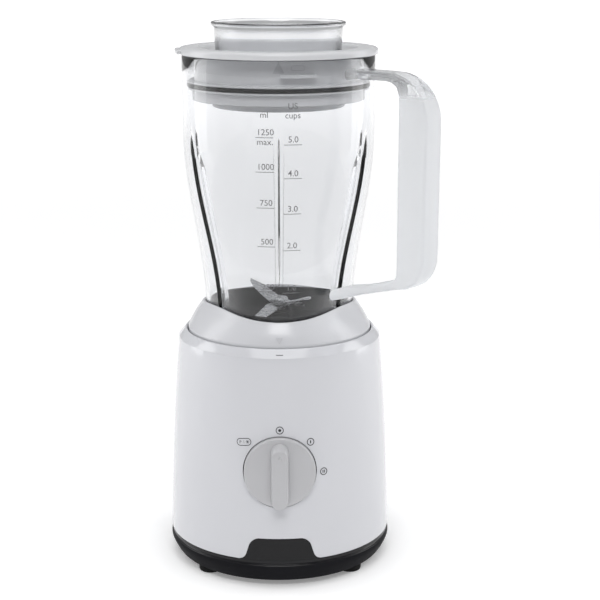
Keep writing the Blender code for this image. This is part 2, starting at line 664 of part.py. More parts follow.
def interlock_pin(parent):
    """The pin that the seated collar holds over the safety switch."""
    outline = [
        (0, DECK_Z - 18), (INTERLOCK_R, DECK_Z - 18), (INTERLOCK_R, DECK_Z - 9),
        (INTERLOCK_FLANGE_R, DECK_Z - 9), (INTERLOCK_FLANGE_R, DECK_Z - 7),
        (INTERLOCK_R, DECK_Z - 7), (INTERLOCK_R, DECK_Z - 0.4), (0, DECK_Z - 0.4),
    ]
    pin = moved(turned(outline, 12), at_azimuth(180, INTERLOCK_CIRCLE))
    finish("interlock_pin", pin, "grey_satin", parent)


def interlock_switch(parent):
    top = DECK_Z - 21
    case = box(-10, 10, INTERLOCK_CIRCLE - 4, INTERLOCK_CIRCLE + 4, top - 12, top)
    finish("interlock_switch", case, "black_plastic", parent)


# Jug

def jug_blend(z):
    """0 in the straight upper part, growing smoothly to 1 at the foot."""
    share = (JUG_TAPER_Z - z) / (JUG_TAPER_Z - JUG_FOOT_Z + 1)
    return (1 - math.cos(math.pi * min(max(share, 0), 1))) / 2


def jug_radius(azimuth, z):
    """Outer radius of the jug without its flutes; the triangle's corners are at the front and +-120."""
    blend = jug_blend(z)
    mean = JUG_R - JUG_NARROWING * blend
    return mean * (1 + JUG_TRIANGLE * blend * math.cos(math.radians(3 * azimuth)))


def jug_azimuths():
    """Even steps all round, with finer ones across each flute."""
    angles = []
    for middle in FLUTE_AZIMUTHS:
        angles += [middle + offset * FLUTE_HALF_ANGLE for offset in (-1, -0.5, 0, 0.5, 1)]
        spread = 120 - 2 * FLUTE_HALF_ANGLE
        angles += [middle + FLUTE_HALF_ANGLE + spread * step / 10 for step in range(1, 10)]
    return angles


def flute(azimuth, z):
    """Depth of the flute at a place on the wall; it runs out to a point at its top."""
    away = min(abs(azimuth - middle) for middle in FLUTE_AZIMUTHS) / FLUTE_HALF_ANGLE
    if away >= 1 or z >= FLUTE_TOP_Z or z < CARRIER_RIM_Z + GAP:
        return 0.0
    run_out = min(1.0, (FLUTE_TOP_Z - z) / FLUTE_RUN_OUT)
    return FLUTE_DEPTH * run_out * (1 + math.cos(math.pi * away)) / 2


def jug_ring(z, inset, fluted=False):
    """Points around the jug at a height, moved inwards from its outer face by inset."""
    points = []
    for azimuth in jug_azimuths():
        radius = jug_radius(azimuth, z) - inset - (flute(azimuth, z) if fluted else 0)
        angle = math.radians(azimuth)
        points.append((radius * math.sin(angle), -radius * math.cos(angle), z))
    return points


def circle_ring(radius, z):
    angles = [math.radians(azimuth) for azimuth in jug_azimuths()]
    return [(radius * math.sin(a), -radius * math.cos(a), z) for a in angles]


def mixed_ring(z, radius, inset, share):
    """Between a circle and the jug's foot outline at the collar's top, by share."""
    round_points = circle_ring(radius, z)
    foot_points = jug_ring(COLLAR_TOP_Z, inset)
    return [
        tuple(a + (b - a) * share for a, b in zip(p[:2], q[:2])) + (z,)
        for p, q in zip(round_points, foot_points)
    ]


def jug_body(parent):
    foot_heights = [JUG_FOOT_Z, CARRIER_RIM_Z + 0.2, CARRIER_RIM_Z + 0.9]
    full_flute_z = FLUTE_TOP_Z - FLUTE_RUN_OUT
    wall_heights = [JUG_WAIST_Z + (full_flute_z - JUG_WAIST_Z) * step / 4 for step in range(5)]
    wall_heights += [FLUTE_TOP_Z, FLUTE_TOP_Z + FLUTE_RUN_OUT, JUG_TOP_Z]
    outer = [jug_ring(z, 0, fluted=True) for z in foot_heights + wall_heights]
    inner = [jug_ring(z, JUG_WALL, fluted=True) for z in reversed(foot_heights + wall_heights)]
    finish("jug_body", lofted(outer + inner), "clear_plastic", parent)


def jug_handle(parent):
    """Flat-sided loop from the rim to the foot, drawn in radius and height and pushed across."""
    grip_in = HANDLE_REACH - HANDLE_GRIP_DEPTH
    top_under = HANDLE_TOP_Z - HANDLE_ARM
    side_view = rounded_corners([
        (JUG_R - 10, HANDLE_TOP_Z, 0), (HANDLE_REACH - 31.4, HANDLE_TOP_Z, 20),
        (HANDLE_REACH, HANDLE_TOP_Z - 4, 22), (HANDLE_REACH - 0.6, DECK_Z + 68, 16),
        (HANDLE_REACH - 23.4, DECK_Z + 57, 30), (JUG_R - 23, DECK_Z + 40, 0), (JUG_R - 23, DECK_Z + 47.5, 0),
        (grip_in, DECK_Z + 64.2, 3), (grip_in, top_under, 4), (JUG_R - 10, top_under + 0.5, 0),
    ], steps=5)
    loop = extruded(side_view, -HANDLE_W / 2, HANDLE_W / 2)
    bmesh.ops.recalc_face_normals(loop, faces=loop.faces)
    caps = [f for f in loop.faces if abs(f.normal.z) > 0.9]
    rims = list({edge for face in caps for edge in face.edges})
    bmesh.ops.bevel(loop, geom=rims, offset=1.8, segments=1, affect="EDGES", profile=0.5)
    outwards = Matrix(((0, 0, 1, 0), (-1, 0, 0, 0), (0, 1, 0, 0), (0, 0, 0, 1)))
    loop = moved(loop, at_azimuth(HANDLE_AZIMUTH) @ outwards)
    handle = finish("jug_handle", loop, "frosted_plastic", parent)
    heights = [DECK_Z + rise for rise in (26, 40, 54, 71, 91, 111, 131)] + [JUG_TAPER_Z, JUG_TOP_Z + 5]
    cut(handle, lofted([jug_ring(z, -GAP) for z in heights], around=False))


def jug_collar(parent):
    """Ring clipped round the jug's foot; its spigot drops into the base's mouth."""
    ledge_top = CARRIER_BASE_Z - GAP
    crease = COLLAR_CREASE_Z
    cone = [(0.25, crease + 4.8), (0.5, crease + 9.2), (0.76, crease + 13.3), (1.0, COLLAR_TOP_Z - 0.9)]
    bore_r = COLLAR_SPIGOT_R - COLLAR_SKIRT
    outer = [circle_ring(COLLAR_SPIGOT_R - 0.6, DECK_Z + GAP), circle_ring(COLLAR_SPIGOT_R, DECK_Z + 1)]
    outer += [circle_ring(COLLAR_SPIGOT_R, crease)]
    outer += [mixed_ring(z, COLLAR_SPIGOT_R + 0.6 * (1 - share), -2.9, share) for share, z in cone]
    outer += [mixed_ring(COLLAR_TOP_Z, COLLAR_SPIGOT_R, -1.9, 1.0)]
    inner = [jug_ring(z, -0.45) for z in (COLLAR_TOP_Z, JUG_FOOT_Z + 6, ledge_top)]
    inner += [circle_ring(LEDGE_R, ledge_top), circle_ring(LEDGE_R, ledge_top - 2.5)]
    inner += [circle_ring(bore_r, ledge_top - 2.5), circle_ring(bore_r, DECK_Z + GAP)]
    finish("jug_collar", lofted(outer + inner), "white_satin", parent)


def jug_seal(parent):
    """Gasket squeezed between the jug's foot and the carrier's flange."""
    low = JUG_FOOT_Z - 2
    high = JUG_FOOT_Z - GAP
    rings = [jug_ring(low, 0.5), jug_ring(high, 0.5), jug_ring(high, 2.8), jug_ring(low, 2.8)]
    finish("jug_seal", lofted(rings), "rubber", parent)


# Blade unit

def blade_carrier(parent):
    """Dark bowl that closes the jug's foot and carries the blades' bearing in a central boss."""
    flange_top = JUG_FOOT_Z - 2 - GAP
    wall_out = JUG_WALL + GAP
    wall_in = wall_out + 2
    bore = BUSH_R + GAP
    rings = [
        jug_ring(CARRIER_BASE_Z, 0.6), jug_ring(flange_top, 0.6), jug_ring(flange_top, wall_out),
        jug_ring(CARRIER_RIM_Z, wall_out), jug_ring(CARRIER_RIM_Z, wall_in), jug_ring(flange_top, wall_in),
        jug_ring(CARRIER_FLOOR_Z, wall_in + 2.5),
        circle_ring(13.5, CARRIER_FLOOR_Z), circle_ring(11, CARRIER_FLOOR_Z + 4.5), circle_ring(8.8, BOSS_TOP),
        circle_ring(bore, BOSS_TOP), circle_ring(bore, CARRIER_BASE_Z),
    ]
    finish("blade_carrier", lofted(rings), "black_plastic", parent)


def blade_bearing(parent):
    inner = SPINDLE_R + GAP
    finish("blade_bush", ring(inner, BUSH_R, CARRIER_BASE_Z + 0.2, BOSS_TOP - 0.3), "bronze", parent)
    outline = [(inner, BOSS_TOP + GAP), (8.4, BOSS_TOP + GAP), (7.4, BOSS_TOP + 2), (inner, BOSS_TOP + 2)]
    finish("spindle_seal", turned(outline, SMALL_STEPS), "rubber", parent)


def blade(name, reach, rise, angle, z, parent):
    """Two-armed blade: flat hub, arms bent at their root, ends tapering to a slanted point."""
    stations = [  # distance from the axis, share of the rise, leading and trailing half widths
        (-reach, 1.0, 1.0, 2.2), (-reach * 0.72, 0.72, 4.6, 4.6), (-9, 0.08, 5.8, 5.8), (-6, 0, 6.2, 6.2),
        (6, 0, 6.2, 6.2), (9, 0.08, 5.8, 5.8), (reach * 0.72, 0.72, 4.6, 4.6), (reach, 1.0, 2.2, 1.0),
    ]
    rings = []
    for along, share, lead, trail in stations:
        low = z + rise * share
        rings.append([(along, -lead, low), (along, trail, low), (along, trail, low + BLADE_T),
                      (along, -lead, low + BLADE_T)])
    strip = moved(lofted(rings, around=False), Matrix.Rotation(math.radians(angle), 4, "Z"))
    obj = finish(name, strip, "steel", parent)
    cut(obj, rod(SPINDLE_TENON_R + GAP, z - 4, z + 6))


def blade_assembly(parent):
    """Everything that turns inside the jug, down to the driven half of the coupling."""
    shoulder = BOSS_TOP + 3.5
    lower_z = shoulder + GAP
    spacer_z = lower_z + BLADE_T + GAP
    upper_z = spacer_z + 0.6 + GAP
    nut_z = upper_z + BLADE_T + GAP
    web = DECK_Z + 10
    spindle = [
        (0, web), (SPINDLE_R, web), (SPINDLE_R, shoulder), (SPINDLE_TENON_R, shoulder),
        (SPINDLE_TENON_R, nut_z + 1.2), (0, nut_z + 1.2),
    ]
    finish("blade_spindle", turned(spindle, SMALL_STEPS), "steel", parent)
    blade("lower_blade", LOWER_BLADE_REACH, -LOWER_BLADE_DROP, LOWER_BLADE_ANGLE, lower_z, parent)
    finish("blade_spacer", ring(SPINDLE_TENON_R + GAP, 6, spacer_z, spacer_z + 0.6), "steel", parent)
    blade("upper_blade", UPPER_BLADE_REACH, UPPER_BLADE_RISE, UPPER_BLADE_ANGLE, upper_z, parent)
    nut = [
        (SPINDLE_TENON_R + GAP, nut_z), (6.2, nut_z), (6.2, nut_z + 1), (5, nut_z + 2),
        (SPINDLE_TENON_R + GAP, nut_z + 2),
    ]
    finish("blade_nut", turned(nut, SMALL_STEPS), "steel", parent)

    skirt_z = DECK_Z + 3
    coupling = [
        (SPINDLE_R + GAP, web + 3.5), (COUPLING_R + 1, web + 3.5), (COUPLING_R + 5, web + 1.5),
        (COUPLING_R + 5, skirt_z), (COUPLING_R + 2, skirt_z), (COUPLING_R + 2, web + 0.2),
        (SPINDLE_R + GAP, web + 0.2),
    ]
    driven = finish("driven_coupling", turned(coupling, SMALL_STEPS), "black_plastic", parent)
    teeth = []
    pitch = 360 / COUPLING_TEETH
    for number in range(COUPLING_TEETH):
        middle = (number + 0.5) * pitch
        teeth.append(sector(COUPLING_R - 2.4, COUPLING_R + 3, skirt_z, web + 1, middle - 9, middle + 9, 4))
    join(driven, *teeth)


# Lid and measuring cup

def lid_body(parent):
    """Flanged lid with a sunken well, a neck for the cup and a skirt grooved for the seal."""
    flange_z = JUG_TOP_Z + GAP
    rib_r = JUG_R - JUG_WALL - 1.2
    groove_r = SEAL_R - SEAL_WIRE_R - 0.6
    low, high = SEAL_Z - SEAL_WIRE_R - GAP, SEAL_Z + SEAL_WIRE_R + GAP
    well_wall = LID_SKIRT_R - 2
    outline = [
        (LID_R - 0.8, flange_z), (LID_R, flange_z + 1), (LID_R, LID_TOP_Z - 1.8), (LID_R - 1.4, LID_TOP_Z),
        (LID_WELL_R + 2.2, LID_TOP_Z), (LID_WELL_R + 0.6, LID_TOP_Z - 1.4), (LID_WELL_R, LID_WELL_Z + 1.2),
        (LID_WELL_R - 1.3, LID_WELL_Z), (NECK_TOP_R, LID_WELL_Z), (NECK_BOTTOM_R, NECK_BOTTOM_Z),
        (NECK_BOTTOM_R + 2, NECK_BOTTOM_Z), (NECK_TOP_R + 2, LID_WELL_Z - 2.3), (well_wall, LID_WELL_Z - 2.3),
        (well_wall, SEAL_Z - 10.2), (rib_r - 2.8, SEAL_Z - 10.2), (rib_r - 2.8, low - 1.6), (rib_r, low - 1.2),
        (rib_r, low), (groove_r, low), (groove_r, high), (rib_r, high), (rib_r, high + 1.3),
        (LID_SKIRT_R, high + 1.8), (LID_SKIRT_R, flange_z),
    ]
    lid = finish("lid_body", turned(outline), "white_satin", parent)
    tab = sector(LID_R - 4, LID_R + 2.8, flange_z + 0.6, LID_TOP_Z - 1.2, 174, 196, 4)
    lugs = []
    for azimuth in LID_LUG_AZIMUTHS:
        start, end = azimuth - 90 - LUG_HALF_ANGLE, azimuth - 90 + LUG_HALF_ANGLE
        lugs.append(sector(LID_SKIRT_R - 1, rib_r + 0.4, LUG_Z, LUG_Z + 2, start, end, 4))
    join(lid, tab, *lugs)


def lid_seal(parent):
    outline = arc(SEAL_WIRE_R, 0, 315, 7, (SEAL_R, SEAL_Z))
    finish("lid_seal", turned(outline), "rubber", parent)


def measuring_cup(parent):
    """Tapered cup that plugs the lid's neck and rests on a bead round its side."""
    bottom_z = NECK_BOTTOM_Z + 1.8
    wall_top_r = CUP_RIM_R - 2
    rise = CUP_TOP_Z - 3.5 - bottom_z

    def wall(z):
        return CUP_BOTTOM_R + (wall_top_r - CUP_BOTTOM_R) * (z - bottom_z) / rise

    bead = LID_WELL_Z + GAP + 0.1
    outline = [
        (0, bottom_z), (CUP_BOTTOM_R, bottom_z), (wall(bead), bead), (NECK_TOP_R + 0.8, bead),
        (NECK_TOP_R + 0.8, bead + 1.6), (wall(bead + 1.9), bead + 1.9), (wall_top_r, CUP_TOP_Z - 3.5),
        (CUP_RIM_R, CUP_TOP_Z - 1.6), (CUP_RIM_R, CUP_TOP_Z - 0.4), (CUP_RIM_R - 0.8, CUP_TOP_Z),
        (wall_top_r - CUP_WALL + 0.3, CUP_TOP_Z - 2), (CUP_BOTTOM_R - CUP_WALL, bottom_z + CUP_WALL),
        (0, bottom_z + CUP_WALL),
    ]
    finish("measuring_cup", turned(outline), "clear_plastic", parent)


def build():
    clear_scene()
    base = body("base")
    motor_housing(base)
    front_panel(base)
    base_pan(base)
    pan_screws(base)
    feet(base)
    cable_gland(base)
    deck_seal(base)
    motor_mounts(base)
    upper_bracket(base)
    lower_bracket(base)
    motor_bolts(base)
    bearings(base)
    stator_core(base)
    field_coils(base)
    brush_gear(base)
    switch_gear(base)
    interlock_switch(base)

    rotor(body("rotor_axis", (0, 0, LOWER_PLATE_Z - 20)))
    control_knob(body("knob_axis", (0, -shell_radius(KNOB_Z), KNOB_Z)))
    interlock_pin(body("interlock_axis", (0, INTERLOCK_CIRCLE, DECK_Z)))

    jug = body("jug_axis", (0, 0, DECK_Z))
    jug_body(jug)
    jug_handle(jug)
    jug_collar(jug)
    jug_seal(jug)
    blade_carrier(jug)
    blade_bearing(jug)
    blade_assembly(body("blade_axis", (0, 0, DECK_Z + 10)))
    lid_seal(body("lid_seal_axis", (0, 0, SEAL_Z)))
    lid_body(body("lid_axis", (0, 0, JUG_TOP_Z)))
    measuring_cup(body("cup_axis", (0, 0, LID_WELL_Z)))


build()
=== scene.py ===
import math

import bmesh
import bpy
from mathutils import Matrix, Vector


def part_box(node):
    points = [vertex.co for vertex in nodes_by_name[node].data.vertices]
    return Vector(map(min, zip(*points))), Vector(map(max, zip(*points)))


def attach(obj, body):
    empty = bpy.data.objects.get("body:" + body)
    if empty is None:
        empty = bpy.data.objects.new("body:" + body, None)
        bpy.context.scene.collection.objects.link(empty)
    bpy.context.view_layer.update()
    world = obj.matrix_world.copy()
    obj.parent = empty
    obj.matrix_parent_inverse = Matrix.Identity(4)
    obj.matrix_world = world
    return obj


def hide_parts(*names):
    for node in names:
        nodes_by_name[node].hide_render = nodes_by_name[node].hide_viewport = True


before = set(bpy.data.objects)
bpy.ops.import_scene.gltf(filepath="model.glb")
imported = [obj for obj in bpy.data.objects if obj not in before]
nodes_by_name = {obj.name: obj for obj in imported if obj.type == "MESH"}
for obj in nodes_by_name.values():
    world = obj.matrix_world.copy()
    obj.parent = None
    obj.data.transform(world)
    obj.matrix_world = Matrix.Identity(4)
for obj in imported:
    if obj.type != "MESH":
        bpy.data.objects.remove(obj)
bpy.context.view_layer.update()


# Motor housing
# The tall white shell that hides the motor, injection moulded in glossy ABS with a slight taper.
# Its shoulder ends in the round mouth that takes the jug's collar; holes are for knob, badge, pin and cord.

MM = 0.001
SHELL_FOOT_Z = 16.5
SHELL_CREASE_Z = 155.0
TAPER_FOOT_Z = 16.2
TAPER_FOOT_R = 77.0
TAPER = 7.2
SHELL_WALL = 2.5
DECK_Z = 144.0
KNOB_Z = 78.4
GLAND_Z = 34.0
PIN_REACH = 60.5


def side_radius(z):
    """Outer radius of the bowed side at a height, both in millimetres."""
    share = (z - TAPER_FOOT_Z) / (SHELL_CREASE_Z - TAPER_FOOT_Z)
    return TAPER_FOOT_R - TAPER * (0.3 * share + 0.7 * share * share)


def spoke(azimuth, radius, z):
    """A point by its azimuth in degrees from the front towards the right, radius and height in mm."""
    angle = math.radians(azimuth)
    return Vector((radius * math.sin(angle), -radius * math.cos(angle), z)) * MM


def ring_by_ring(name, stations, around=144, outline=None):
    """Grow a turned piece from a circle, one extrusion for each further (radius, height) in mm.

    outline(number, azimuth, radius) gives the radius at a station that isn't round.
    """
    bpy.ops.object.select_all(action="DESELECT")
    bpy.ops.mesh.primitive_circle_add(vertices=around, radius=stations[0][0] * MM, enter_editmode=True)
    piece = bpy.context.object
    piece.name = name
    for number, (radius, height) in enumerate(stations):
        if number:
            bpy.ops.mesh.extrude_region_move()
        mesh = bmesh.from_edit_mesh(piece.data)
        for vert in mesh.verts:
            if vert.select:
                azimuth = math.degrees(math.atan2(vert.co.x, -vert.co.y))
                reach = outline(number, azimuth, radius) if outline else radius
                vert.co = spoke(azimuth, reach, height)
        bmesh.update_edit_mesh(piece.data)
    bpy.ops.mesh.select_all(action="SELECT")
    bpy.ops.mesh.remove_doubles(threshold=0.000001)
    bpy.ops.mesh.fill_holes(sides=0)
    bpy.ops.mesh.select_all(action="SELECT")
    bpy.ops.mesh.normals_make_consistent(inside=False)
    bpy.ops.object.mode_set(mode="OBJECT")
    return piece


def make_active(piece):
    bpy.ops.object.select_all(action="DESELECT")
    piece.select_set(True)
    bpy.context.view_layer.objects.active = piece


def soften(piece, width, segments=3, limit=30):
    """Round every edge sharper than the limit, then shade the piece smooth between what stays sharp."""
    make_active(piece)
    if width:
        modifier = piece.modifiers.new("Bevel", "BEVEL")
        modifier.width = width * MM
        modifier.segments = segments
        modifier.limit_method = "ANGLE"
        modifier.angle_limit = math.radians(limit)
        modifier.use_clamp_overlap = True
        bpy.ops.object.modifier_apply(modifier="Bevel")
    bpy.ops.object.shade_smooth_by_angle(angle=math.radians(35))


def carve(piece, cutter, operation="DIFFERENCE"):
    """Apply a boolean with another mesh, which is then thrown away."""
    make_active(piece)
    modifier = piece.modifiers.new("Boolean", "BOOLEAN")
    modifier.operation = operation
    modifier.solver = "EXACT"
    modifier.object = cutter
    bpy.ops.object.modifier_apply(modifier="Boolean")
    bpy.data.objects.remove(cutter, do_unlink=True)


def put(piece, matrix):
    """Carry a piece modelled about the origin to its place, and keep the place in its mesh."""
    make_active(piece)
    piece.matrix_world = matrix
    bpy.ops.object.transform_apply(location=True, rotation=True, scale=True)


def peg(radius, low, high, around=48):
    """A plain rod about Z, used to cut round holes."""
    return ring_by_ring("peg", [(radius, low), (radius, high)], around)


def new_surface(name, **sockets):
    """A material with its constants on the shader's own sockets, its node tree and its Object place."""
    material = bpy.data.materials.new(name)
    material.use_nodes = True
    tree = material.node_tree
    for socket, value in sockets.items():
        tree.nodes["Principled BSDF"].inputs[socket.replace("_", " ")].default_value = value
    return material, tree, tree.nodes.new("ShaderNodeTexCoord").outputs["Object"]


def feed(tree, output, socket):
    tree.links.new(output, tree.nodes["Principled BSDF"].inputs[socket])


def noise(tree, place, scale, detail=2):
    node = tree.nodes.new("ShaderNodeTexNoise")
    node.inputs["Scale"].default_value = scale
    node.inputs["Detail"].default_value = detail
    tree.links.new(place, node.inputs["Vector"])
    return node.outputs["Fac"]


def blended(tree, factor, first, second):
    """A colour between two, by a factor."""
    node = tree.nodes.new("ShaderNodeMix")
    node.data_type = "RGBA"
    node.inputs[6].default_value = (*first, 1)
    node.inputs[7].default_value = (*second, 1)
    tree.links.new(factor, node.inputs[0])
    return node.outputs[2]


def ranged(tree, value, result, span=(0, 1), smooth=False):
    """A number carried from its span to a result between two others."""
    node = tree.nodes.new("ShaderNodeMapRange")
    if smooth:
        node.interpolation_type = "SMOOTHSTEP"
    node.inputs["From Min"].default_value, node.inputs["From Max"].default_value = span
    node.inputs["To Min"].default_value, node.inputs["To Max"].default_value = result
    tree.links.new(value, node.inputs["Value"])
    return node.outputs["Result"]


def relieved(tree, height, strength, distance):
    """Turn a height pattern into a bump of the surface."""
    node = tree.nodes.new("ShaderNodeBump")
    node.inputs["Strength"].default_value = strength
    node.inputs["Distance"].default_value = distance
    tree.links.new(height, node.inputs["Height"])
    feed(tree, node.outputs["Normal"], "Normal")


def moulded(name, dark, light, gloss, blotch=14, grain=900, relief=0.00002, **sockets):
    """Moulded plastic or rubber: slow drift of tone, fine grain in the gloss and in the relief."""
    material, tree, place = new_surface(name, **sockets)
    feed(tree, blended(tree, noise(tree, place, blotch, 3), dark, light), "Base Color")
    fine = noise(tree, place, grain)
    feed(tree, ranged(tree, fine, gloss), "Roughness")
    relieved(tree, fine, 0.4, relief)
    return material


def dress(piece, material):
    piece.data.materials.clear()
    piece.data.materials.append(material)


BADGE_TOP = 31.8
BADGE_CORNER = 5.0
BADGE_FLARE = 4.0


def badge_half_width(z):
    """Half the badge's width at a height: sloping sides, round top corners, flared foot."""
    half = 24.5 - 5.0 * (z - SHELL_FOOT_Z) / (BADGE_TOP - SHELL_FOOT_Z)
    down = z - (BADGE_TOP - BADGE_CORNER)
    if down > 0:
        half -= BADGE_CORNER - math.sqrt(max(BADGE_CORNER ** 2 - down ** 2, 0))
    up = SHELL_FOOT_Z + BADGE_FLARE - z
    if up > 0:
        half += BADGE_FLARE - math.sqrt(max(BADGE_FLARE ** 2 - up ** 2, 0))
    return half


def badge_plate(name, grow, low, outer, inner):
    """A curved plate in the badge's outline, from a grid bent round the shell and given a thickness."""
    bpy.ops.object.select_all(action="DESELECT")
    bpy.ops.mesh.primitive_grid_add(x_subdivisions=40, y_subdivisions=32, size=2, enter_editmode=True)
    piece = bpy.context.object
    piece.name = name
    mesh = bmesh.from_edit_mesh(piece.data)
    top = BADGE_TOP + grow
    for vert in mesh.verts:
        rise = math.sin(math.pi / 2 * (vert.co.y + 1) / 2)
        z = low + (top - low) * rise
        half = badge_half_width(min(max(z - grow * rise, SHELL_FOOT_Z), BADGE_TOP)) + grow
        radius = side_radius(z) + outer
        vert.co = spoke(math.degrees(vert.co.x * half / radius), radius, z)
    bmesh.update_edit_mesh(piece.data)
    bpy.ops.mesh.select_all(action="SELECT")
    bpy.ops.mesh.normals_make_consistent(inside=False)
    bpy.ops.object.mode_set(mode="OBJECT")
    thick = piece.modifiers.new("Solidify", "SOLIDIFY")
    thick.thickness = (outer - inner) * MM
    thick.offset = -1 if piece.data.polygons[0].normal.y < 0 else 1
    make_active(piece)
    bpy.ops.object.modifier_apply(modifier="Solidify")
    return piece


def knob_place():
    """From knob space, where +Z points out of the shell and +Y up, to the world."""
    tilt = Matrix.Rotation(math.radians(90 - 1.7), 4, "X")
    return Matrix.Translation(spoke(0, side_radius(KNOB_Z), KNOB_Z)) @ tilt


def gland_place():
    """From gland space, where +Z points out of the back, to the world."""
    turn = Matrix.Rotation(math.radians(-90), 4, "X")
    return Matrix.Translation(Vector((0, side_radius(GLAND_Z), GLAND_Z)) * MM) @ turn


side = [SHELL_FOOT_Z + (SHELL_CREASE_Z - SHELL_FOOT_Z) * step / 20 for step in range(21)]
housing_stations = [(side_radius(z), z) for z in side]
housing_stations += [
    (65.2, 160.1), (64.6, 160.3), (63.9, 159.9), (63.9, DECK_Z), (11.0, DECK_Z), (11.0, 141.0),
    (66.4, 141.0), (66.4, 154.0), (67.2, 152.0),
]
housing_stations += [(side_radius(z) - SHELL_WALL, z) for z in reversed(side[:-1:3])]
housing_stations.append(housing_stations[0])
housing = ring_by_ring("housing", housing_stations, around=180)
soften(housing, 0.5, 3, 24)
knob_hole = peg(24.6, -14, 12, 96)
put(knob_hole, knob_place())
carve(housing, knob_hole)
carve(housing, badge_plate("notch", 0.3, SHELL_FOOT_Z - 1.5, 3, -6))
cord_hole = peg(6.3, -12, 12)
put(cord_hole, gland_place())
carve(housing, cord_hole)
pin_hole = peg(2.8, DECK_Z - 10, DECK_Z + 5, 32)
put(pin_hole, Matrix.Translation((0, PIN_REACH * MM, 0)))
carve(housing, pin_hole)
soften(housing, 0)
white_gloss = moulded("housing_white_gloss", (0.62, 0.625, 0.655), (0.65, 0.655, 0.685), (0.10, 0.16),
                      blotch=9, grain=240, relief=0.000012, Coat_Weight=0.4, Coat_Roughness=0.04)
dress(housing, white_gloss)
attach(housing, "base")
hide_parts("motor_housing")


# Badge plate
# The blank plate at the foot of the front, moulded in polished black and clipped into the shell's notch.

badge = badge_plate("badge_plate", 0, SHELL_FOOT_Z, 0.15, -1.9)
soften(badge, 0.35, 3, 40)
dress(badge, moulded("badge_black_gloss", (0.004, 0.004, 0.005), (0.008, 0.008, 0.009), (0.06, 0.11),
                     blotch=20, grain=300, relief=0.000008, Coat_Weight=0.1, Coat_Roughness=0.03,
                     Specular_IOR_Level=0.2))
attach(badge, "base")
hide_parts("front_panel")


# Base pan
# The black tray that closes the housing from below, with a polished step under the white shell.
# Its floor has cooling slots, seats for the feet and counterbores for the four screws.

PAN_FLOOR = 3.0
FOOT_CIRCLE = 63.8
FOOT_AZIMUTHS = (49, 131, 229, 311)
SCREW_CIRCLE = 66.0
SCREW_AZIMUTHS = (75, -75, 155, -155)

pan_stations = [
    (6, 0), (70.6, 0), (71.6, 0.25), (72.4, 1.0), (74.2, 3.6), (76.0, 7.0), (76.9, 9.0), (77.3, 10.4),
    (77.3, 12.3), (76.9, 12.8), (76.2, 13.1), (75.9, 14.2), (75.9, 16.2), (74.2, 16.2), (74.0, 24.0),
    (71.7, 24.0), (71.7, PAN_FLOOR), (6, PAN_FLOOR),
]
pan = ring_by_ring("pan", pan_stations, around=180)
soften(pan, 0.25, 2, 28)
for azimuth in SCREW_AZIMUTHS:
    for size, top in ((2.0, 8), (4.0, 1.8)):
        hole = peg(size, -2, top, 24)
        put(hole, Matrix.Translation(spoke(azimuth, SCREW_CIRCLE, 0)))
        carve(pan, hole)
for azimuth in FOOT_AZIMUTHS:
    hole = peg(6.3, -2, 2, 40)
    put(hole, Matrix.Translation(spoke(azimuth, FOOT_CIRCLE, 0)))
    carve(pan, hole)
for y in (-16, -8, 8, 16):
    bpy.ops.object.select_all(action="DESELECT")
    bpy.ops.mesh.primitive_cube_add(size=MM, location=(0, y * MM, 1.5 * MM), scale=(28, 3, 8))
    slot = bpy.context.object
    bpy.ops.object.transform_apply(location=True, rotation=True, scale=True)
    carve(pan, slot)
soften(pan, 0)
black_matt = moulded("pan_black_matt", (0.010, 0.010, 0.012), (0.016, 0.016, 0.018), (0.42, 0.55),
                     blotch=30, grain=2600, relief=0.00005, Specular_IOR_Level=0.02)
dress(pan, black_matt)
step_polished = moulded("pan_step_polished", (0.008, 0.008, 0.010), (0.014, 0.014, 0.016), (0.12, 0.2),
                        blotch=30, grain=500, relief=0.00001, Specular_IOR_Level=0.3)
pan.data.materials.append(step_polished)
for face in pan.data.polygons:
    if face.center.z > 12.4 * MM:
        face.material_index = 1
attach(pan, "base")
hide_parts("base_pan")


# Feet
# Four soft rubber pads pressed into the pan's seats, each a shallow button with a dished sole.

black_rubber = moulded("rubber_black", (0.012, 0.012, 0.012), (0.024, 0.024, 0.024), (0.65, 0.8),
                       blotch=60, grain=1800, relief=0.00006, Specular_IOR_Level=0.05)
for name, azimuth in zip(("front_right", "rear_right", "rear_left", "front_left"), FOOT_AZIMUTHS):
    foot = ring_by_ring(f"pad_{name}", [
        (2.5, -3.4), (6.0, -3.5), (6.4, -4.0), (7.2, -3.9), (7.7, -3.4), (8.0, -2.6), (8.0, 1.7), (2.5, 1.7),
    ], 48)
    soften(foot, 0.15, 2)
    put(foot, Matrix.Translation(spoke(azimuth, FOOT_CIRCLE, 0)))
    dress(foot, black_rubber)
    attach(foot, "base")
    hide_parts(f"foot_{name}")


# Cord gland
# The rubber bush in the back wall that guides the supply cord, with a collar and three grip ribs.

gland = ring_by_ring("cord_gland", [
    (3.6, -7), (6.0, -7), (6.0, 0.3), (8.3, 0.3), (8.5, 0.6), (8.5, 1.4), (8.1, 1.8), (7.0, 1.8), (6.8, 1.2),
    (6.4, 1.2), (6.2, 2.3), (5.7, 2.3), (5.5, 1.9), (5.2, 1.9), (5.0, 3.3), (4.4, 3.4), (3.6, 3.1), (3.6, -7),
], 64)
soften(gland, 0.12, 2)
put(gland, gland_place())
dress(gland, black_rubber)
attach(gland, "base")
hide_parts("cable_gland")


# Dial marks
# Dark grey pad prints around the knob: pulse with crushed ice, off, and the two speeds.
# The shoulder carries a short dash that the jug's arrow points to.

print_grey = moulded("print_dark_grey", (0.02, 0.02, 0.023), (0.035, 0.035, 0.04), (0.4, 0.5),
                     blotch=200, grain=3000, relief=0.000004)


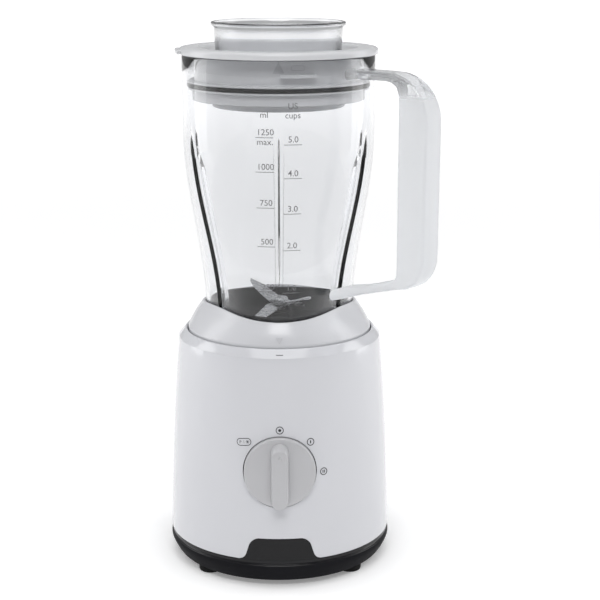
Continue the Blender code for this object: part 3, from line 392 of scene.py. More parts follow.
def disc_mark(radius, stroke=None, stretch=0.0):
    """A flat disc in XY, drawn out sideways by stretch; with a stroke only its outline is kept."""
    bpy.ops.object.select_all(action="DESELECT")
    bpy.ops.mesh.primitive_circle_add(vertices=48, radius=radius, fill_type="NGON", enter_editmode=True)
    piece = bpy.context.object
    mesh = bmesh.from_edit_mesh(piece.data)
    for vert in mesh.verts:
        vert.co.x += math.copysign(stretch, vert.co.x) if abs(vert.co.x) > 0.0001 else 0
    bmesh.update_edit_mesh(piece.data)
    if stroke:
        bpy.ops.mesh.inset(thickness=stroke)
        bpy.ops.mesh.delete(type="ONLY_FACE")
    bpy.ops.object.mode_set(mode="OBJECT")
    return piece


def bar_mark(width, height, x=0.0, y=0.0, turn=0.0):
    bpy.ops.object.select_all(action="DESELECT")
    bpy.ops.mesh.primitive_plane_add(size=1, enter_editmode=True)
    bpy.ops.mesh.subdivide(number_cuts=max(1, int(width / 2)))
    bpy.ops.object.mode_set(mode="OBJECT")
    piece = bpy.context.object
    place = Matrix.Translation((x, y, 0)) @ Matrix.Rotation(math.radians(turn), 4, "Z")
    put(piece, place @ Matrix.Diagonal((width, height, 1, 1)))
    return piece


def word_mark(text, size, x=0.0, y=0.0):
    """Lettering as a flat mesh, centred on x with its baseline at y."""
    bpy.ops.object.select_all(action="DESELECT")
    bpy.ops.object.text_add()
    piece = bpy.context.object
    piece.data.body = text
    piece.data.size = size
    piece.data.offset = 0.014
    piece.data.align_x = "CENTER"
    piece.data.resolution_u = 4
    bpy.ops.object.convert(target="MESH")
    piece = bpy.context.object
    put(piece, Matrix.Translation((x, y, 0)))
    return piece


def joined(name, *parts):
    bpy.ops.object.select_all(action="DESELECT")
    for part in parts:
        part.select_set(True)
    bpy.context.view_layer.objects.active = parts[0]
    bpy.ops.object.join()
    parts[0].name = name
    return parts[0]


def wrap(piece, azimuth, z, radius_at, proud=0.09):
    """Lay a flat drawing, in mm about its own centre, on a round wall."""
    for vert in piece.data.vertices:
        height = z + vert.co.y
        radius = radius_at(azimuth, height)
        vert.co = spoke(azimuth + math.degrees(vert.co.x / radius), radius + proud, height)


def shell_wall(azimuth, z):
    return side_radius(z)


off_mark = joined("mark_off", disc_mark(2.65, 0.55), disc_mark(1.0))
wrap(off_mark, 0, 107.1, shell_wall)
one_mark = joined("mark_speed_1", disc_mark(2.6, 0.55), bar_mark(0.75, 2.1))
wrap(one_mark, 16.0, 98.4, shell_wall)
two_mark = joined("mark_speed_2", disc_mark(2.6, 0.55), bar_mark(0.6, 2.1, -0.55), bar_mark(0.6, 2.1, 0.55))
wrap(two_mark, 22.9, 77.1, shell_wall)
pulse_mark = joined(
    "mark_pulse", disc_mark(2.6, 0.45, 2.5), word_mark("P", 2.9, -2.5, -1.0), bar_mark(0.2, 2.0),
    bar_mark(2.4, 0.35, 2.5), bar_mark(2.4, 0.35, 2.5, 0, 60), bar_mark(2.4, 0.35, 2.5, 0, 120),
)
PULSE_AZIMUTH = -18.7
PULSE_Z = 98.2
wrap(pulse_mark, PULSE_AZIMUTH, PULSE_Z, shell_wall)
pulse_middle = spoke(PULSE_AZIMUTH, side_radius(PULSE_Z), PULSE_Z)
pulse_lean = Matrix.Rotation(math.radians(6), 4, spoke(PULSE_AZIMUTH, 1, 0).normalized())
pulse_mark.data.transform(Matrix.Translation(pulse_middle) @ pulse_lean @ Matrix.Translation(-pulse_middle))
dash_mark = bar_mark(4.6, 0.4)
dash_mark.name = "mark_dash"
wrap(dash_mark, 0, 157.0, lambda azimuth, z: 69.8 - (z - SHELL_CREASE_Z) * 0.9, 0.12)
for mark in (off_mark, one_mark, two_mark, pulse_mark, dash_mark):
    dress(mark, print_grey)
    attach(mark, "base")


# Control knob
# A grey disc with a drafted grip bar moulded on it, which overhangs the disc's lower edge a little.
# A small dimple near the bar's top is the pointer; the disc's edge is rounded and polished by use.

knob = ring_by_ring("knob", [
    (5, 2.0), (14, 2.02), (20.5, 2.1), (22.2, 2.2), (23.2, 2.0), (23.75, 1.5), (24.0, 0.7), (24.0, -5.5),
    (22, -5.5), (22, 0), (6, 0), (6, -12), (3.3, -12), (3.3, -3.5), (5, -3.5),
], 160)
soften(knob, 0)
BAR_MIDDLE = -2.0
# half width, upper end, lower end and height over the shell, in mm
bar_levels = [
    (6.3, 20.6, -23.6, 1.0), (6.15, 20.3, -23.6, 2.2), (5.75, 18.9, -23.4, 6.0), (5.4, 17.4, -23.2, 9.0),
    (5.15, 17.1, -22.95, 9.4), (4.85, 16.8, -22.6, 9.55),
]


def bar_outline(number, azimuth, radius):
    """A slot shape: straight along the sides, a half circle at each end."""
    high, low = bar_levels[number][1:3]
    across, along = abs(math.sin(math.radians(azimuth))), -math.cos(math.radians(azimuth))
    reach = high - radius - BAR_MIDDLE if along > 0 else BAR_MIDDLE - low - radius
    if across * reach > radius * abs(along):
        return radius / across
    return reach * abs(along) + math.sqrt(radius ** 2 - (reach * across) ** 2)


bar = ring_by_ring("bar", [(radius, z) for radius, high, low, z in bar_levels], 120, bar_outline)
put(bar, Matrix.Translation((0, BAR_MIDDLE * MM, 0)))
bpy.ops.object.select_all(action="DESELECT")
bpy.ops.mesh.primitive_uv_sphere_add(segments=32, ring_count=16, radius=2.0 * MM,
                                     location=(0, 12.5 * MM, 11.0 * MM))
dimple = bpy.context.object
bpy.ops.object.transform_apply(location=True, rotation=True, scale=True)
carve(bar, dimple)
soften(bar, 0)
knob = joined("knob", knob, bar)
put(knob, knob_place())
grey_satin = moulded("knob_grey_satin", (0.48, 0.48, 0.495), (0.52, 0.52, 0.535), (0.26, 0.36),
                     blotch=25, grain=1600, relief=0.00002)
dress(knob, grey_satin)
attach(knob, "knob")
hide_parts("control_knob")


# Jug
# The clear copolyester jug, blow-moulded with a 3 mm wall. It is round at the rim and leans to a
# rounded triangle at the foot, with a stiffening flute down each flat side.

JUG_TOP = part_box("jug_body")[1].z / MM
JUG_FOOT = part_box("jug_body")[0].z / MM
JUG_R = 65.0
JUG_WALL = 3.0
COLLAR_TOP = 178.9
FLUTE_TOP = 298.0


def jug_lean(z):
    """0 in the straight upper part, growing smoothly to 1 at the foot."""
    share = (300.0 - z) / 135.0
    return (1 - math.cos(math.pi * min(max(share, 0), 1))) / 2


def jug_mean(z):
    return JUG_R - 15.3 * jug_lean(z)


def three_cornered(azimuth, z):
    """How far the wall stands off its mean circle; the corners are at the front and at +-120 degrees."""
    return jug_mean(z) * 0.08 * jug_lean(z) * math.cos(math.radians(3 * azimuth))


def flute(azimuth, z):
    """Depth of the flute in the wall, running out to a point at its top."""
    away = abs((azimuth + 120) % 120 - 60) / 3.7
    if away >= 1 or z >= FLUTE_TOP or z < COLLAR_TOP - 0.6:
        return 0.0
    return 5.0 * min(1.0, (FLUTE_TOP - z) / 24) * (1 + math.cos(math.pi * away)) / 2


def jug_face(azimuth, z):
    return jug_mean(z) + three_cornered(azimuth, z) - flute(azimuth, z)


wall_heights = [JUG_FOOT, 170, 174, COLLAR_TOP - 0.7, COLLAR_TOP - 0.2]
wall_heights += [COLLAR_TOP + 3 + step * 5.4 for step in range(24)] + [310, 322, 336]
jug_stations = [(jug_mean(z), z) for z in wall_heights]
jug_stations += [(JUG_R, JUG_TOP - 1.2), (JUG_R - 0.4, JUG_TOP - 0.3), (JUG_R - 1.2, JUG_TOP),
                 (JUG_R - 1.8, JUG_TOP), (JUG_R - 2.6, JUG_TOP - 0.3), (JUG_R - JUG_WALL, JUG_TOP - 1.2)]
jug_stations += [(jug_mean(z) - JUG_WALL, z) for z in reversed(wall_heights)]
jug_stations.append(jug_stations[0])


def jug_outline(number, azimuth, radius):
    z = jug_stations[number][1]
    return radius + three_cornered(azimuth, z) - flute(azimuth, z)


jug = ring_by_ring("jug", jug_stations, 300, jug_outline)
soften(jug, 0)


def clear(name, tint, roughness, wave, relief, ior):
    """Clear plastic with the faint ripple that moulding leaves in its skin."""
    material, tree, place = new_surface(name, Transmission_Weight=1.0, IOR=ior)
    ripple = noise(tree, place, wave)
    feed(tree, ranged(tree, ripple, roughness), "Roughness")
    feed(tree, blended(tree, ripple, tint, [min(1, c * 1.02) for c in tint]), "Base Color")
    relieved(tree, ripple, 0.3, relief)
    return material


dress(jug, clear("jug_clear", (0.87, 0.875, 0.885), (0.0, 0.02), 40, 0.00001, 1.43))
jug.visible_shadow = False
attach(jug, "jug")
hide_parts("jug_body")


# Jug scale
# Grey screen print on the outside of the front wall: millilitres on the left, cups on the right.

print_pale = moulded("print_pale_grey", (0.16, 0.16, 0.165), (0.20, 0.20, 0.205), (0.4, 0.5),
                     blotch=200, grain=3000, relief=0.000004)
PRINT_SIZE = 5.6
TICK_WIDTH = 11.6
scale_parts = []


def scale_line(azimuth, z):
    line = bar_mark(TICK_WIDTH, 0.42)
    wrap(line, azimuth, z, jug_face)
    scale_parts.append(line)


def scale_word(text, azimuth, z):
    word = word_mark(text, PRINT_SIZE)
    wrap(word, azimuth, z, jug_face)
    scale_parts.append(word)


for text, z in (("1250", 299.3), ("1000", 277.1), ("750", 253.5), ("500", 227.4), ("250", 196.5)):
    scale_line(-8.2, z)
    scale_word(text, -7.6, z + 1.6)
scale_word("max.", -7.8, 299.3 - 4.6)
for text, z in (("5.0", 294.7), ("4.0", 272.9), ("3.0", 249.5), ("2.0", 224.8), ("1.0", 195.7)):
    scale_line(8.1, z)
    scale_word(text, 8.2, z + 1.6)
scale_word("ml", -8.2, 312.0)
scale_word("US", 8.0, 317.4)
scale_word("cups", 8.0, 311.6)
jug_scale = joined("jug_scale", *scale_parts)
dress(jug_scale, print_pale)
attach(jug_scale, "jug")


# Jug handle
# One clear moulding: two flat arms that flare where they meet the wall, and a deep grip whose
# faces are spark-eroded to a frosted grey while the corners stay polished.

HANDLE_AZIMUTH = 50.0
HANDLE_W = 18.0
GRIP_OUT = 126.9
GRIP_IN = 104.8
ARM_TOP = 340.4
ARM_UNDER = 334.8
GRIP_LEAN = 0.6
TOP_BEND, TOP_BEND_DROP = 96, 30
FOOT_BEND, FOOT_BEND_Z, FOOT_BEND_DROP = 104, 224, 22.5

outer_side = [(62 + 4 * step, ARM_TOP + 0.25 * math.sin(math.pi * step / 9)) for step in range(9)]
for turn in range(8, 81, 8):
    angle = math.radians(turn)
    outer_side.append((TOP_BEND + (GRIP_OUT - TOP_BEND) * math.sin(angle),
                       ARM_TOP - TOP_BEND_DROP + TOP_BEND_DROP * math.cos(angle)))
outer_side += [(GRIP_OUT - GRIP_LEAN * step / 6, 310 - (310 - 226) * step / 6) for step in range(7)]
for turn in range(10, 71, 10):
    angle = math.radians(turn)
    outer_side.append((FOOT_BEND + (GRIP_OUT - GRIP_LEAN - FOOT_BEND) * math.cos(angle),
                       FOOT_BEND_Z - FOOT_BEND_DROP * math.sin(angle)))
outer_side += [(104 - 6.5 * step, 201.6 - 1.72 * step) for step in range(9)]
inner_side = [(52 + 6.5 * step, 192.4 + 1.92 * step) for step in range(8)]
inner_side += [(GRIP_IN - 4.6, 207.0), (GRIP_IN - 1.6, 208.6), (GRIP_IN - 0.3, 211.2)]
inner_side += [(GRIP_IN, 216 + 19 * step) for step in range(6)]
inner_side += [(GRIP_IN, 320), (GRIP_IN - 0.4, 327), (GRIP_IN - 2.2, 331.6), (GRIP_IN - 6.2, 334.2)]
inner_side += [(94 - 4 * step, ARM_UNDER + 0.2) for step in range(9)]

bpy.ops.object.select_all(action="DESELECT")
bpy.ops.mesh.primitive_circle_add(vertices=len(outer_side) + len(inner_side), radius=MM, fill_type="NGON",
                                  enter_editmode=True)
handle = bpy.context.object
handle.name = "handle"
mesh = bmesh.from_edit_mesh(handle.data)
ordered = sorted(mesh.verts, key=lambda v: -math.atan2(v.co.y, v.co.x))
for vert, (reach, height) in zip(ordered, outer_side + inner_side):
    vert.co = (reach * MM, height * MM, -HANDLE_W / 2 * MM)
bmesh.update_edit_mesh(handle.data)
bpy.ops.mesh.select_all(action="SELECT")
bpy.ops.mesh.extrude_region_move(TRANSFORM_OT_translate={"value": (0, 0, HANDLE_W * MM)})
bpy.ops.mesh.select_all(action="SELECT")
bpy.ops.mesh.normals_make_consistent(inside=False)
bpy.ops.object.mode_set(mode="OBJECT")
soften(handle, 2.2, 5, 50)
for vert in handle.data.vertices:
    reach, height, across = vert.co / MM
    flare = min(max(0, (80 - reach) / 20) ** 2, 1)
    middle = 337.6 if height > 270 else 187.5 + 0.27 * (reach - 45)
    vert.co = Vector((reach, middle + (height - middle) * (1 + 0.55 * flare), across * (1 + 0.3 * flare))) * MM
outwards = Matrix(((0, 0, 1, 0), (-1, 0, 0, 0), (0, 1, 0, 0), (0, 0, 0, 1)))
put(handle, Matrix.Rotation(math.radians(HANDLE_AZIMUTH), 4, "Z") @ outwards)
core_heights = (150, 160, 170, 180, 190, 200, 215, 235, 255, 275, 300, 360)


def core_outline(number, azimuth, radius):
    return radius + three_cornered(azimuth, core_heights[number])


jug_core = ring_by_ring("jug_core", [(jug_mean(z) + 0.1, z) for z in core_heights], 120, core_outline)
carve(handle, jug_core)
soften(handle, 0)

# The frost fades in and out along the height; its curve runs over the first 0.37 m above the origin.
FROST_SPAN = 0.37
POLISHED = 0.04
FROSTED = 0.55
handle_frost = clear("handle_frosted", (0.76, 0.77, 0.785), (0.06, 0.1), 300, 0.00003, 1.48)
tree = handle_frost.node_tree
height = tree.nodes.new("ShaderNodeSeparateXYZ")
tree.links.new(tree.nodes["Texture Coordinate"].outputs["Object"], height.inputs[0])
scaled = tree.nodes.new("ShaderNodeMath")
scaled.operation = "DIVIDE"
scaled.inputs[1].default_value = FROST_SPAN
tree.links.new(height.outputs["Z"], scaled.inputs[0])
zone = tree.nodes.new("ShaderNodeFloatCurve")
points = zone.mapping.curves[0].points
points[0].location = (0.0, POLISHED)
points[1].location = (1.0, POLISHED)
for z, value in ((0.42, 0.06), (0.49, 0.5), (0.60, FROSTED), (0.80, FROSTED), (0.86, 0.5), (0.90, 0.08)):
    points.new(z, value)
zone.mapping.update()
tree.links.new(scaled.outputs[0], zone.inputs["Value"])
feed(tree, zone.outputs["Value"], "Roughness")
feed(tree, ranged(tree, zone.outputs["Value"], (0.95, 0.3), (POLISHED, FROSTED)), "Transmission Weight")
dress(handle, handle_frost)
handle.visible_shadow = False
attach(handle, "jug")
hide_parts("jug_handle")


# Collar
# The satin white ring clipped round the jug's foot. Its spigot drops into the housing's mouth,
# and above the joint it slopes up from a circle to the jug's rounded triangle.

CONE_FOOT_Z = 161.6
CONE_HEAD_Z = 178.0
COLLAR_R = 63.2
RIM_LIP = 2.9
collar_cone = [(step / 12, CONE_FOOT_Z + (CONE_HEAD_Z - CONE_FOOT_Z) * (step / 12) ** 1.05) for step in range(13)]
collar_stations = [(62.6, 144.3), (COLLAR_R, 145.0), (COLLAR_R, 160.9)]
collar_kinds = [("circle", 62.6), ("circle", COLLAR_R), ("circle", COLLAR_R)]
for share, z in collar_cone:
    collar_stations.append((60, z))
    collar_kinds.append(("slope", share))
for z, inset in ((178.6, -2.7), (178.9, -2.2), (178.9, -1.0), (178.6, -0.6), (177.6, -0.45), (172, -0.45),
                 (158.0, -0.45)):
    collar_stations.append((60, z))
    collar_kinds.append(("jug", inset))
for radius, z in ((42, 158.0), (42, 155.5), (58.2, 155.5), (58.2, 144.3), (62.6, 144.3)):
    collar_stations.append((radius, z))
    collar_kinds.append(("circle", radius))


def plain_wall(azimuth, z):
    return jug_mean(z) + three_cornered(azimuth, z)


def slope_radius(azimuth, share):
    """The slope's radius, from the round joint at share 0 to the jug's outline at share 1."""
    rim = plain_wall(azimuth, COLLAR_TOP) + RIM_LIP
    return COLLAR_R + (rim - COLLAR_R) * share + 0.9 * math.sin(math.pi * share)


def rim_dip(azimuth, z):
    """How far the rim sinks between the jug's three corners, fading to nothing at the joint."""
    share = min(max((z - CONE_FOOT_Z) / (COLLAR_TOP - CONE_FOOT_Z), 0), 1)
    return 1.6 * (1 + math.cos(math.radians(3 * azimuth))) * share


def collar_outline(number, azimuth, radius):
    kind, value = collar_kinds[number]
    if kind == "circle":
        return value
    if kind == "jug":
        return plain_wall(azimuth, collar_stations[number][1]) - value
    return slope_radius(azimuth, value)


collar = ring_by_ring("collar", collar_stations, 180, collar_outline)
for vert in collar.data.vertices:
    azimuth = math.degrees(math.atan2(vert.co.x, -vert.co.y))
    vert.co.z -= rim_dip(azimuth, vert.co.z / MM) * MM
soften(collar, 0.2, 2, 35)
white_satin = moulded("collar_white_satin", (0.60, 0.605, 0.63), (0.63, 0.635, 0.66), (0.20, 0.28),
                      blotch=12, grain=1400, relief=0.000015)
dress(collar, white_satin)
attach(collar, "jug")
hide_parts("jug_collar")


def three_sided(piece, up, size):
    """Draw a disc in to a triangle that points up at 1 and down at -1."""
    for vert in piece.data.vertices:
        angle = math.atan2(vert.co.y, vert.co.x)
        sector = (angle - up * math.pi / 2) % (math.tau / 3) - math.pi / 3
        vert.co *= size / math.cos(sector)


arrow = disc_mark(1.9, 0.28)
arrow.name = "mark_arrow"
three_sided(arrow, -1, 0.62)


def collar_slope(azimuth, z):
    return slope_radius(azimuth, (z - CONE_FOOT_Z) / (CONE_HEAD_Z - CONE_FOOT_Z))


wrap(arrow, 0, 165.6, collar_slope, 0.15)
pale_print = moulded("print_soft_grey", (0.42, 0.42, 0.44), (0.48, 0.48, 0.50), (0.35, 0.45),
                     blotch=200, grain=3000, relief=0.000004)
dress(arrow, pale_print)
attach(arrow, "jug")


# Blade bowl
# The black bowl that closes the jug's foot and carries the blades' bearing in a central boss.
# A rounded buttress stands in each of its three corners.

bowl_stations = [
    (0, 158.3, 0.6), (0, 163.7, 0.6), (0, 163.7, 3.3), (0, 177.6, 3.3), (0, 178.1, 3.5), (0, 178.3, 4.0),
    (0, 178.2, 4.8), (0, 177.6, 5.3), (0, 175, 5.4), (0, 172, 5.6), (0, 169, 6.0), (0, 166.5, 6.8),
    (0, 164.4, 8.0), (0, 162.6, 10.0), (0, 161.5, 12.5), (0, 161.0, 15.5),
    (19, 161.0, None), (16, 161.2, None), (14, 162.0, None), (12.6, 163.6, None), (11.2, 166, None),
    (9.8, 169, None), (9.2, 170.1, None), (8.6, 170.5, None), (6.3, 170.5, None), (6.3, 158.3, None),
    (0, 158.3, 0.6),
]


def bowl_outline(number, azimuth, radius):
    radius, z, inset = bowl_stations[number]
    if inset is None:
        return radius
    reach = plain_wall(azimuth, z) - inset
    if inset > 5:
        corner = abs((azimuth + 180) % 120 - 60) / 15
        swell = 6.5 * (1 - min(max((z - 163) / 13, 0), 1)) ** 0.7
        reach -= swell * max(0, 1 - corner * corner) ** 1.5
    return reach


bowl = ring_by_ring("blade_bowl", [(50, station[1]) for station in bowl_stations], 180, bowl_outline)
soften(bowl, 0.15, 2, 40)
dress(bowl, moulded("bowl_black", (0.006, 0.006, 0.007), (0.012, 0.012, 0.013), (0.16, 0.26),
                    blotch=40, grain=1500, relief=0.00002, Specular_IOR_Level=0.25))
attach(bowl, "jug")
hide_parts("blade_carrier")


# Blades
# Two stamped stainless blades on one spindle: the upper pair of arms sweeps up, the lower pair down.
# Each arm is bent at its root, widens, and is ground along its leading edge to a slanted point.

BLADE_T = 1.5


def ground_steel(name, along=(30, 1500, 1500), tone=(0.88, 0.89, 0.90)):
    """Stainless steel with fine grinding lines across the piece and a few dull patches."""
    material, tree, place = new_surface(name, Metallic=1.0)
    stretch = tree.nodes.new("ShaderNodeMapping")
    stretch.inputs["Scale"].default_value = along
    tree.links.new(place, stretch.inputs["Vector"])
    lines = noise(tree, stretch.outputs["Vector"], 1, 4)
    feed(tree, ranged(tree, lines, (0.16, 0.36)), "Roughness")
    feed(tree, blended(tree, lines, [c * 0.86 for c in tone], tone), "Base Color")
    relieved(tree, lines, 0.25, 0.00003)
    return material


blade_steel = ground_steel("blade_steel", tone=(0.80, 0.81, 0.83))


def knife(name, reach, rise, angle, base_z):
    """A hub plate from a cube, then each arm extruded station by station, tipped and ground."""
    bpy.ops.object.select_all(action="DESELECT")
    bpy.ops.mesh.primitive_cube_add(size=1, enter_editmode=True)
    piece = bpy.context.object
    piece.name = name
    bpy.ops.transform.resize(value=(11 * MM, 12.4 * MM, BLADE_T * MM))
    for way in (1, -1):
        # distance out, share of the rise, leading and trailing half widths, twist in mm
        arm = [
            (7, 0.0, 5.9, 5.9, 0), (8.5, 0.04, 5.6, 5.6, 0), (11, 0.16, 5.3, 5.2, 0.2),
            (reach * 0.5, 0.38, 5.4, 4.6, 0.5), (reach * 0.68, 0.62, 5.3, 3.9, 0.8),
            (reach * 0.82, 0.8, 4.7, 2.6, 0.9), (reach * 0.93, 0.93, 3.5, 0.6, 0.8), (reach, 1.0, 1.7, -0.9, 0.5),
        ]
        for step, (out, share, lead, trail, twist) in enumerate(arm):
            mesh = bmesh.from_edit_mesh(piece.data)
            if step == 0:
                bpy.ops.mesh.select_mode(type="FACE")
                bpy.ops.mesh.select_all(action="DESELECT")
                for face in mesh.faces:
                    face.select_set(face.normal.x * way > 0.9)
                bmesh.update_edit_mesh(piece.data)
            bpy.ops.mesh.extrude_region_move()
            mesh = bmesh.from_edit_mesh(piece.data)
            corners = sorted((vert for vert in mesh.verts if vert.select), key=lambda v: v.co.y * way)
            for pair, half, lift in ((corners[:2], -trail, -twist), (corners[2:], lead, twist)):
                for vert, face in zip(sorted(pair, key=lambda v: v.co.z), (-BLADE_T / 2, BLADE_T / 2)):
                    vert.co = Vector((out * way, half * way, rise * share + lift * 0.6 + face)) * MM
            bmesh.update_edit_mesh(piece.data)
    bpy.ops.mesh.select_all(action="SELECT")
    bpy.ops.mesh.normals_make_consistent(inside=False)
    bpy.ops.mesh.select_mode(type="EDGE")
    bpy.ops.mesh.select_all(action="DESELECT")
    mesh = bmesh.from_edit_mesh(piece.data)
    for edge in mesh.edges:
        first, second = (vert.co / MM for vert in edge.verts)
        middle = (first + second) / 2
        runs_out = abs(first.x - second.x) > 1.2 and abs(middle.x) > 11
        way = math.copysign(1, middle.x)
        faces_up = sum(face.normal.z for face in edge.link_faces) > 0.3
        edge.select_set(runs_out and middle.y * way > 0 and faces_up)
    bmesh.update_edit_mesh(piece.data)
    bpy.ops.mesh.bevel(offset=1.0 * MM, segments=1)
    bpy.ops.object.mode_set(mode="OBJECT")
    carve(piece, peg(3.25, -4, 4, 40))
    soften(piece, 0.12, 2, 30)
    turn = Matrix.Rotation(math.radians(angle), 4, "Z")
    put(piece, Matrix.Translation((0, 0, (base_z + BLADE_T / 2) * MM)) @ turn)
    dress(piece, blade_steel)
    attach(piece, "blades")
    return piece


lower = knife("lower_knife", 33.0, -6.0, 54.0, 174.3)
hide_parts("lower_blade")
upper = knife("upper_knife", 36.0, 9.0, -57.0, 177.0)
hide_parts("upper_blade")

nut = ring_by_ring("spindle_nut", [
    (3.05, 178.85), (6.1, 178.85), (6.2, 179.0), (6.2, 179.7), (5.9, 180.2), (5.0, 180.75), (3.9, 180.8),
    (3.3, 180.5), (3.05, 179.9), (3.05, 178.85),
], 48)
soften(nut, 0)
dress(nut, blade_steel)
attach(nut, "blades")
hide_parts("blade_nut")


# Lid
# Pale translucent lid: a broad flange on the jug's rim, a well with the neck for the cup, and a
# skirt with three bayonet lugs. A printed arrow and padlock show which way it locks.

SKIRT_R = 56.5
lid_stations = [
    (66.0, 347.8), (66.6, 348.1), (66.8, 348.8), (66.8, 350.6), (66.5, 351.5), (65.6, 352.2), (64.0, 352.5),
    (60.0, 352.6), (55.6, 352.6), (54.2, 352.4), (53.4, 351.6), (53.1, 350.4), (52.8, 340.2), (52.4, 339.0),
    (51.4, 338.4), (50.4, 338.3), (45.6, 338.3), (44.7, 338.1), (44.4, 337.5), (42.6, 313.6), (42.8, 313.1),
    (43.6, 313.0), (44.6, 313.4), (46.4, 336.0), (54.5, 336.0), (54.5, 318.4), (54.9, 318.0), (57.6, 318.0),
    (58.0, 318.4), (58.0, 325.1), (58.4, 325.3), (60.6, 325.4), (60.8, 325.7), (60.8, 326.6), (58.6, 326.7),
    (58.6, 329.7), (60.8, 329.8), (60.8, 330.7), (60.4, 331.0), (56.8, 331.4), (SKIRT_R, 331.8), (SKIRT_R, 347.8),
    (66.0, 347.8),
]
lid = ring_by_ring("lid", lid_stations, 180)


def curved_block(name, r0, r1, z0, z1, start, end, edge):
    """A block between two radii, two heights and two azimuths, its edges rounded."""
    bpy.ops.object.select_all(action="DESELECT")
    bpy.ops.mesh.primitive_cube_add(size=1, enter_editmode=True)
    piece = bpy.context.object
    piece.name = name
    bpy.ops.mesh.select_mode(type="EDGE")
    bpy.ops.mesh.select_all(action="DESELECT")
    mesh = bmesh.from_edit_mesh(piece.data)
    for rim in mesh.edges:
        rim.select_set(abs(rim.verts[0].co.x - rim.verts[1].co.x) > 0.5)
    bmesh.update_edit_mesh(piece.data)
    bpy.ops.mesh.subdivide_edgering(number_cuts=max(2, int(abs(end - start) / 2)))
    mesh = bmesh.from_edit_mesh(piece.data)
    for vert in mesh.verts:
        azimuth = start + (end - start) * (vert.co.x + 0.5)
        vert.co = spoke(azimuth, r0 + (r1 - r0) * (vert.co.y + 0.5), z0 + (z1 - z0) * (vert.co.z + 0.5))
    bmesh.update_edit_mesh(piece.data)
    bpy.ops.mesh.select_all(action="SELECT")
    bpy.ops.mesh.normals_make_consistent(inside=False)
    bpy.ops.object.mode_set(mode="OBJECT")
    soften(piece, edge, 2, 40)
    return piece


carve(lid, curved_block("tab", 62.8, 69.4, 348.5, 351.3, -96, -74, 0.5), "UNION")
for azimuth in (12, 132, 252):
    carve(lid, curved_block("lug", 56.0, 61.1, 336.3, 338.3, azimuth - 11, azimuth + 11, 0.3), "UNION")
soften(lid, 0)
lid_milk = moulded("lid_pale_satin", (0.60, 0.605, 0.62), (0.64, 0.645, 0.66), (0.16, 0.26),
                   blotch=16, grain=1200, relief=0.000015,
                   Subsurface_Weight=0.25, Subsurface_Radius=(0.004, 0.004, 0.004))
dress(lid, lid_milk)
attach(lid, "lid")
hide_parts("lid_body")


def skirt_wall(azimuth, z):
    return SKIRT_R


lock_arrow = disc_mark(2.9)
three_sided(lock_arrow, 1, 0.75)
wrap(lock_arrow, 0, 340.8, skirt_wall)
padlock = disc_mark(1.5, 0.35, 3.0)
wrap(padlock, 12.5, 341.6, skirt_wall)
lid_marks = joined("lid_marks", lock_arrow, padlock)
dress(lid_marks, pale_print)
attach(lid_marks, "lid")


# Lid seal
# The black silicone ring in the skirt's groove that grips the inside of the jug.

SEAL_R = 60.4
SEAL_Z = 328.2
SEAL_THICK_R = 1.2
seal = ring_by_ring("lid_ring_seal", [
    (SEAL_R + SEAL_THICK_R * math.cos(math.tau * step / 16), SEAL_Z + SEAL_THICK_R * math.sin(math.tau * step / 16))
    for step in range(17)
], 180)
soften(seal, 0)
dress(seal, black_rubber)
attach(seal, "lid_ring")
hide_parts("lid_seal")


# Measuring cup
# A thin clear cup, frosted inside, that plugs the lid's neck and rests on a bead round its side.

cup = ring_by_ring("cup", [
    (38.6, 314.8), (39.9, 314.9), (40.6, 315.6), (41.55, 338.5), (44.9, 338.7), (45.2, 339.1), (45.2, 339.9),
    (44.9, 340.3), (41.75, 340.7), (43.2, 364.9), (43.6, 365.7), (44.9, 366.6), (45.3, 367.4), (45.2, 368.4),
    (44.6, 368.95), (43.9, 369.1), (42.9, 368.8), (42.2, 367.6), (41.7, 366.2), (38.9, 317.6), (38.2, 316.7),
    (37.0, 316.5),
], 160)
soften(cup, 0)
dress(cup, clear("cup_hazy", (0.93, 0.935, 0.945), (0.10, 0.16), 60, 0.00002, 1.49))
cup.visible_shadow = False
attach(cup, "cup")
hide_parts("measuring_cup")


# Inner works
# The motor, its brackets, the switch and the coupling keep their solid shapes and get real surfaces.


def surface(material, *names):
    for name in names:
        dress(nodes_by_name[name], material)


surface(black_rubber, "deck_seal", "motor_mount_1", "motor_mount_2", "motor_mount_3", "jug_seal",
        "spindle_seal")
surface(black_matt, "switch_plate", "rotary_switch", "interlock_switch", "cooling_fan", "drive_coupling",
        "driven_coupling")
surface(grey_satin, "interlock_pin")
turned_steel = ground_steel("turned_steel", (300, 300, 3000))
surface(turned_steel, "motor_shaft", "knob_shaft", "blade_spindle", "blade_spacer", "upper_bearing",
        "lower_bearing", "switch_frame")
surface(turned_steel, *(f"pan_screw_{n}" for n in (1, 2, 3, 4)), *(f"motor_bolt_{n}" for n in (1, 2)))


def banded(name, dark, light, bands, metal, roughness, axis="Z"):
    """Metal whose surface is a stack of fine bands: sheets, wires or bars."""
    material, tree, place = new_surface(name, Metallic=metal, Roughness=roughness)
    wave = tree.nodes.new("ShaderNodeTexWave")
    wave.bands_direction = axis
    wave.inputs["Scale"].default_value = bands
    wave.inputs["Distortion"].default_value = 0.6
    tree.links.new(place, wave.inputs["Vector"])
    feed(tree, blended(tree, wave.outputs["Fac"], dark, light), "Base Color")
    relieved(tree, wave.outputs["Fac"], 1.0, 0.0001)
    return material


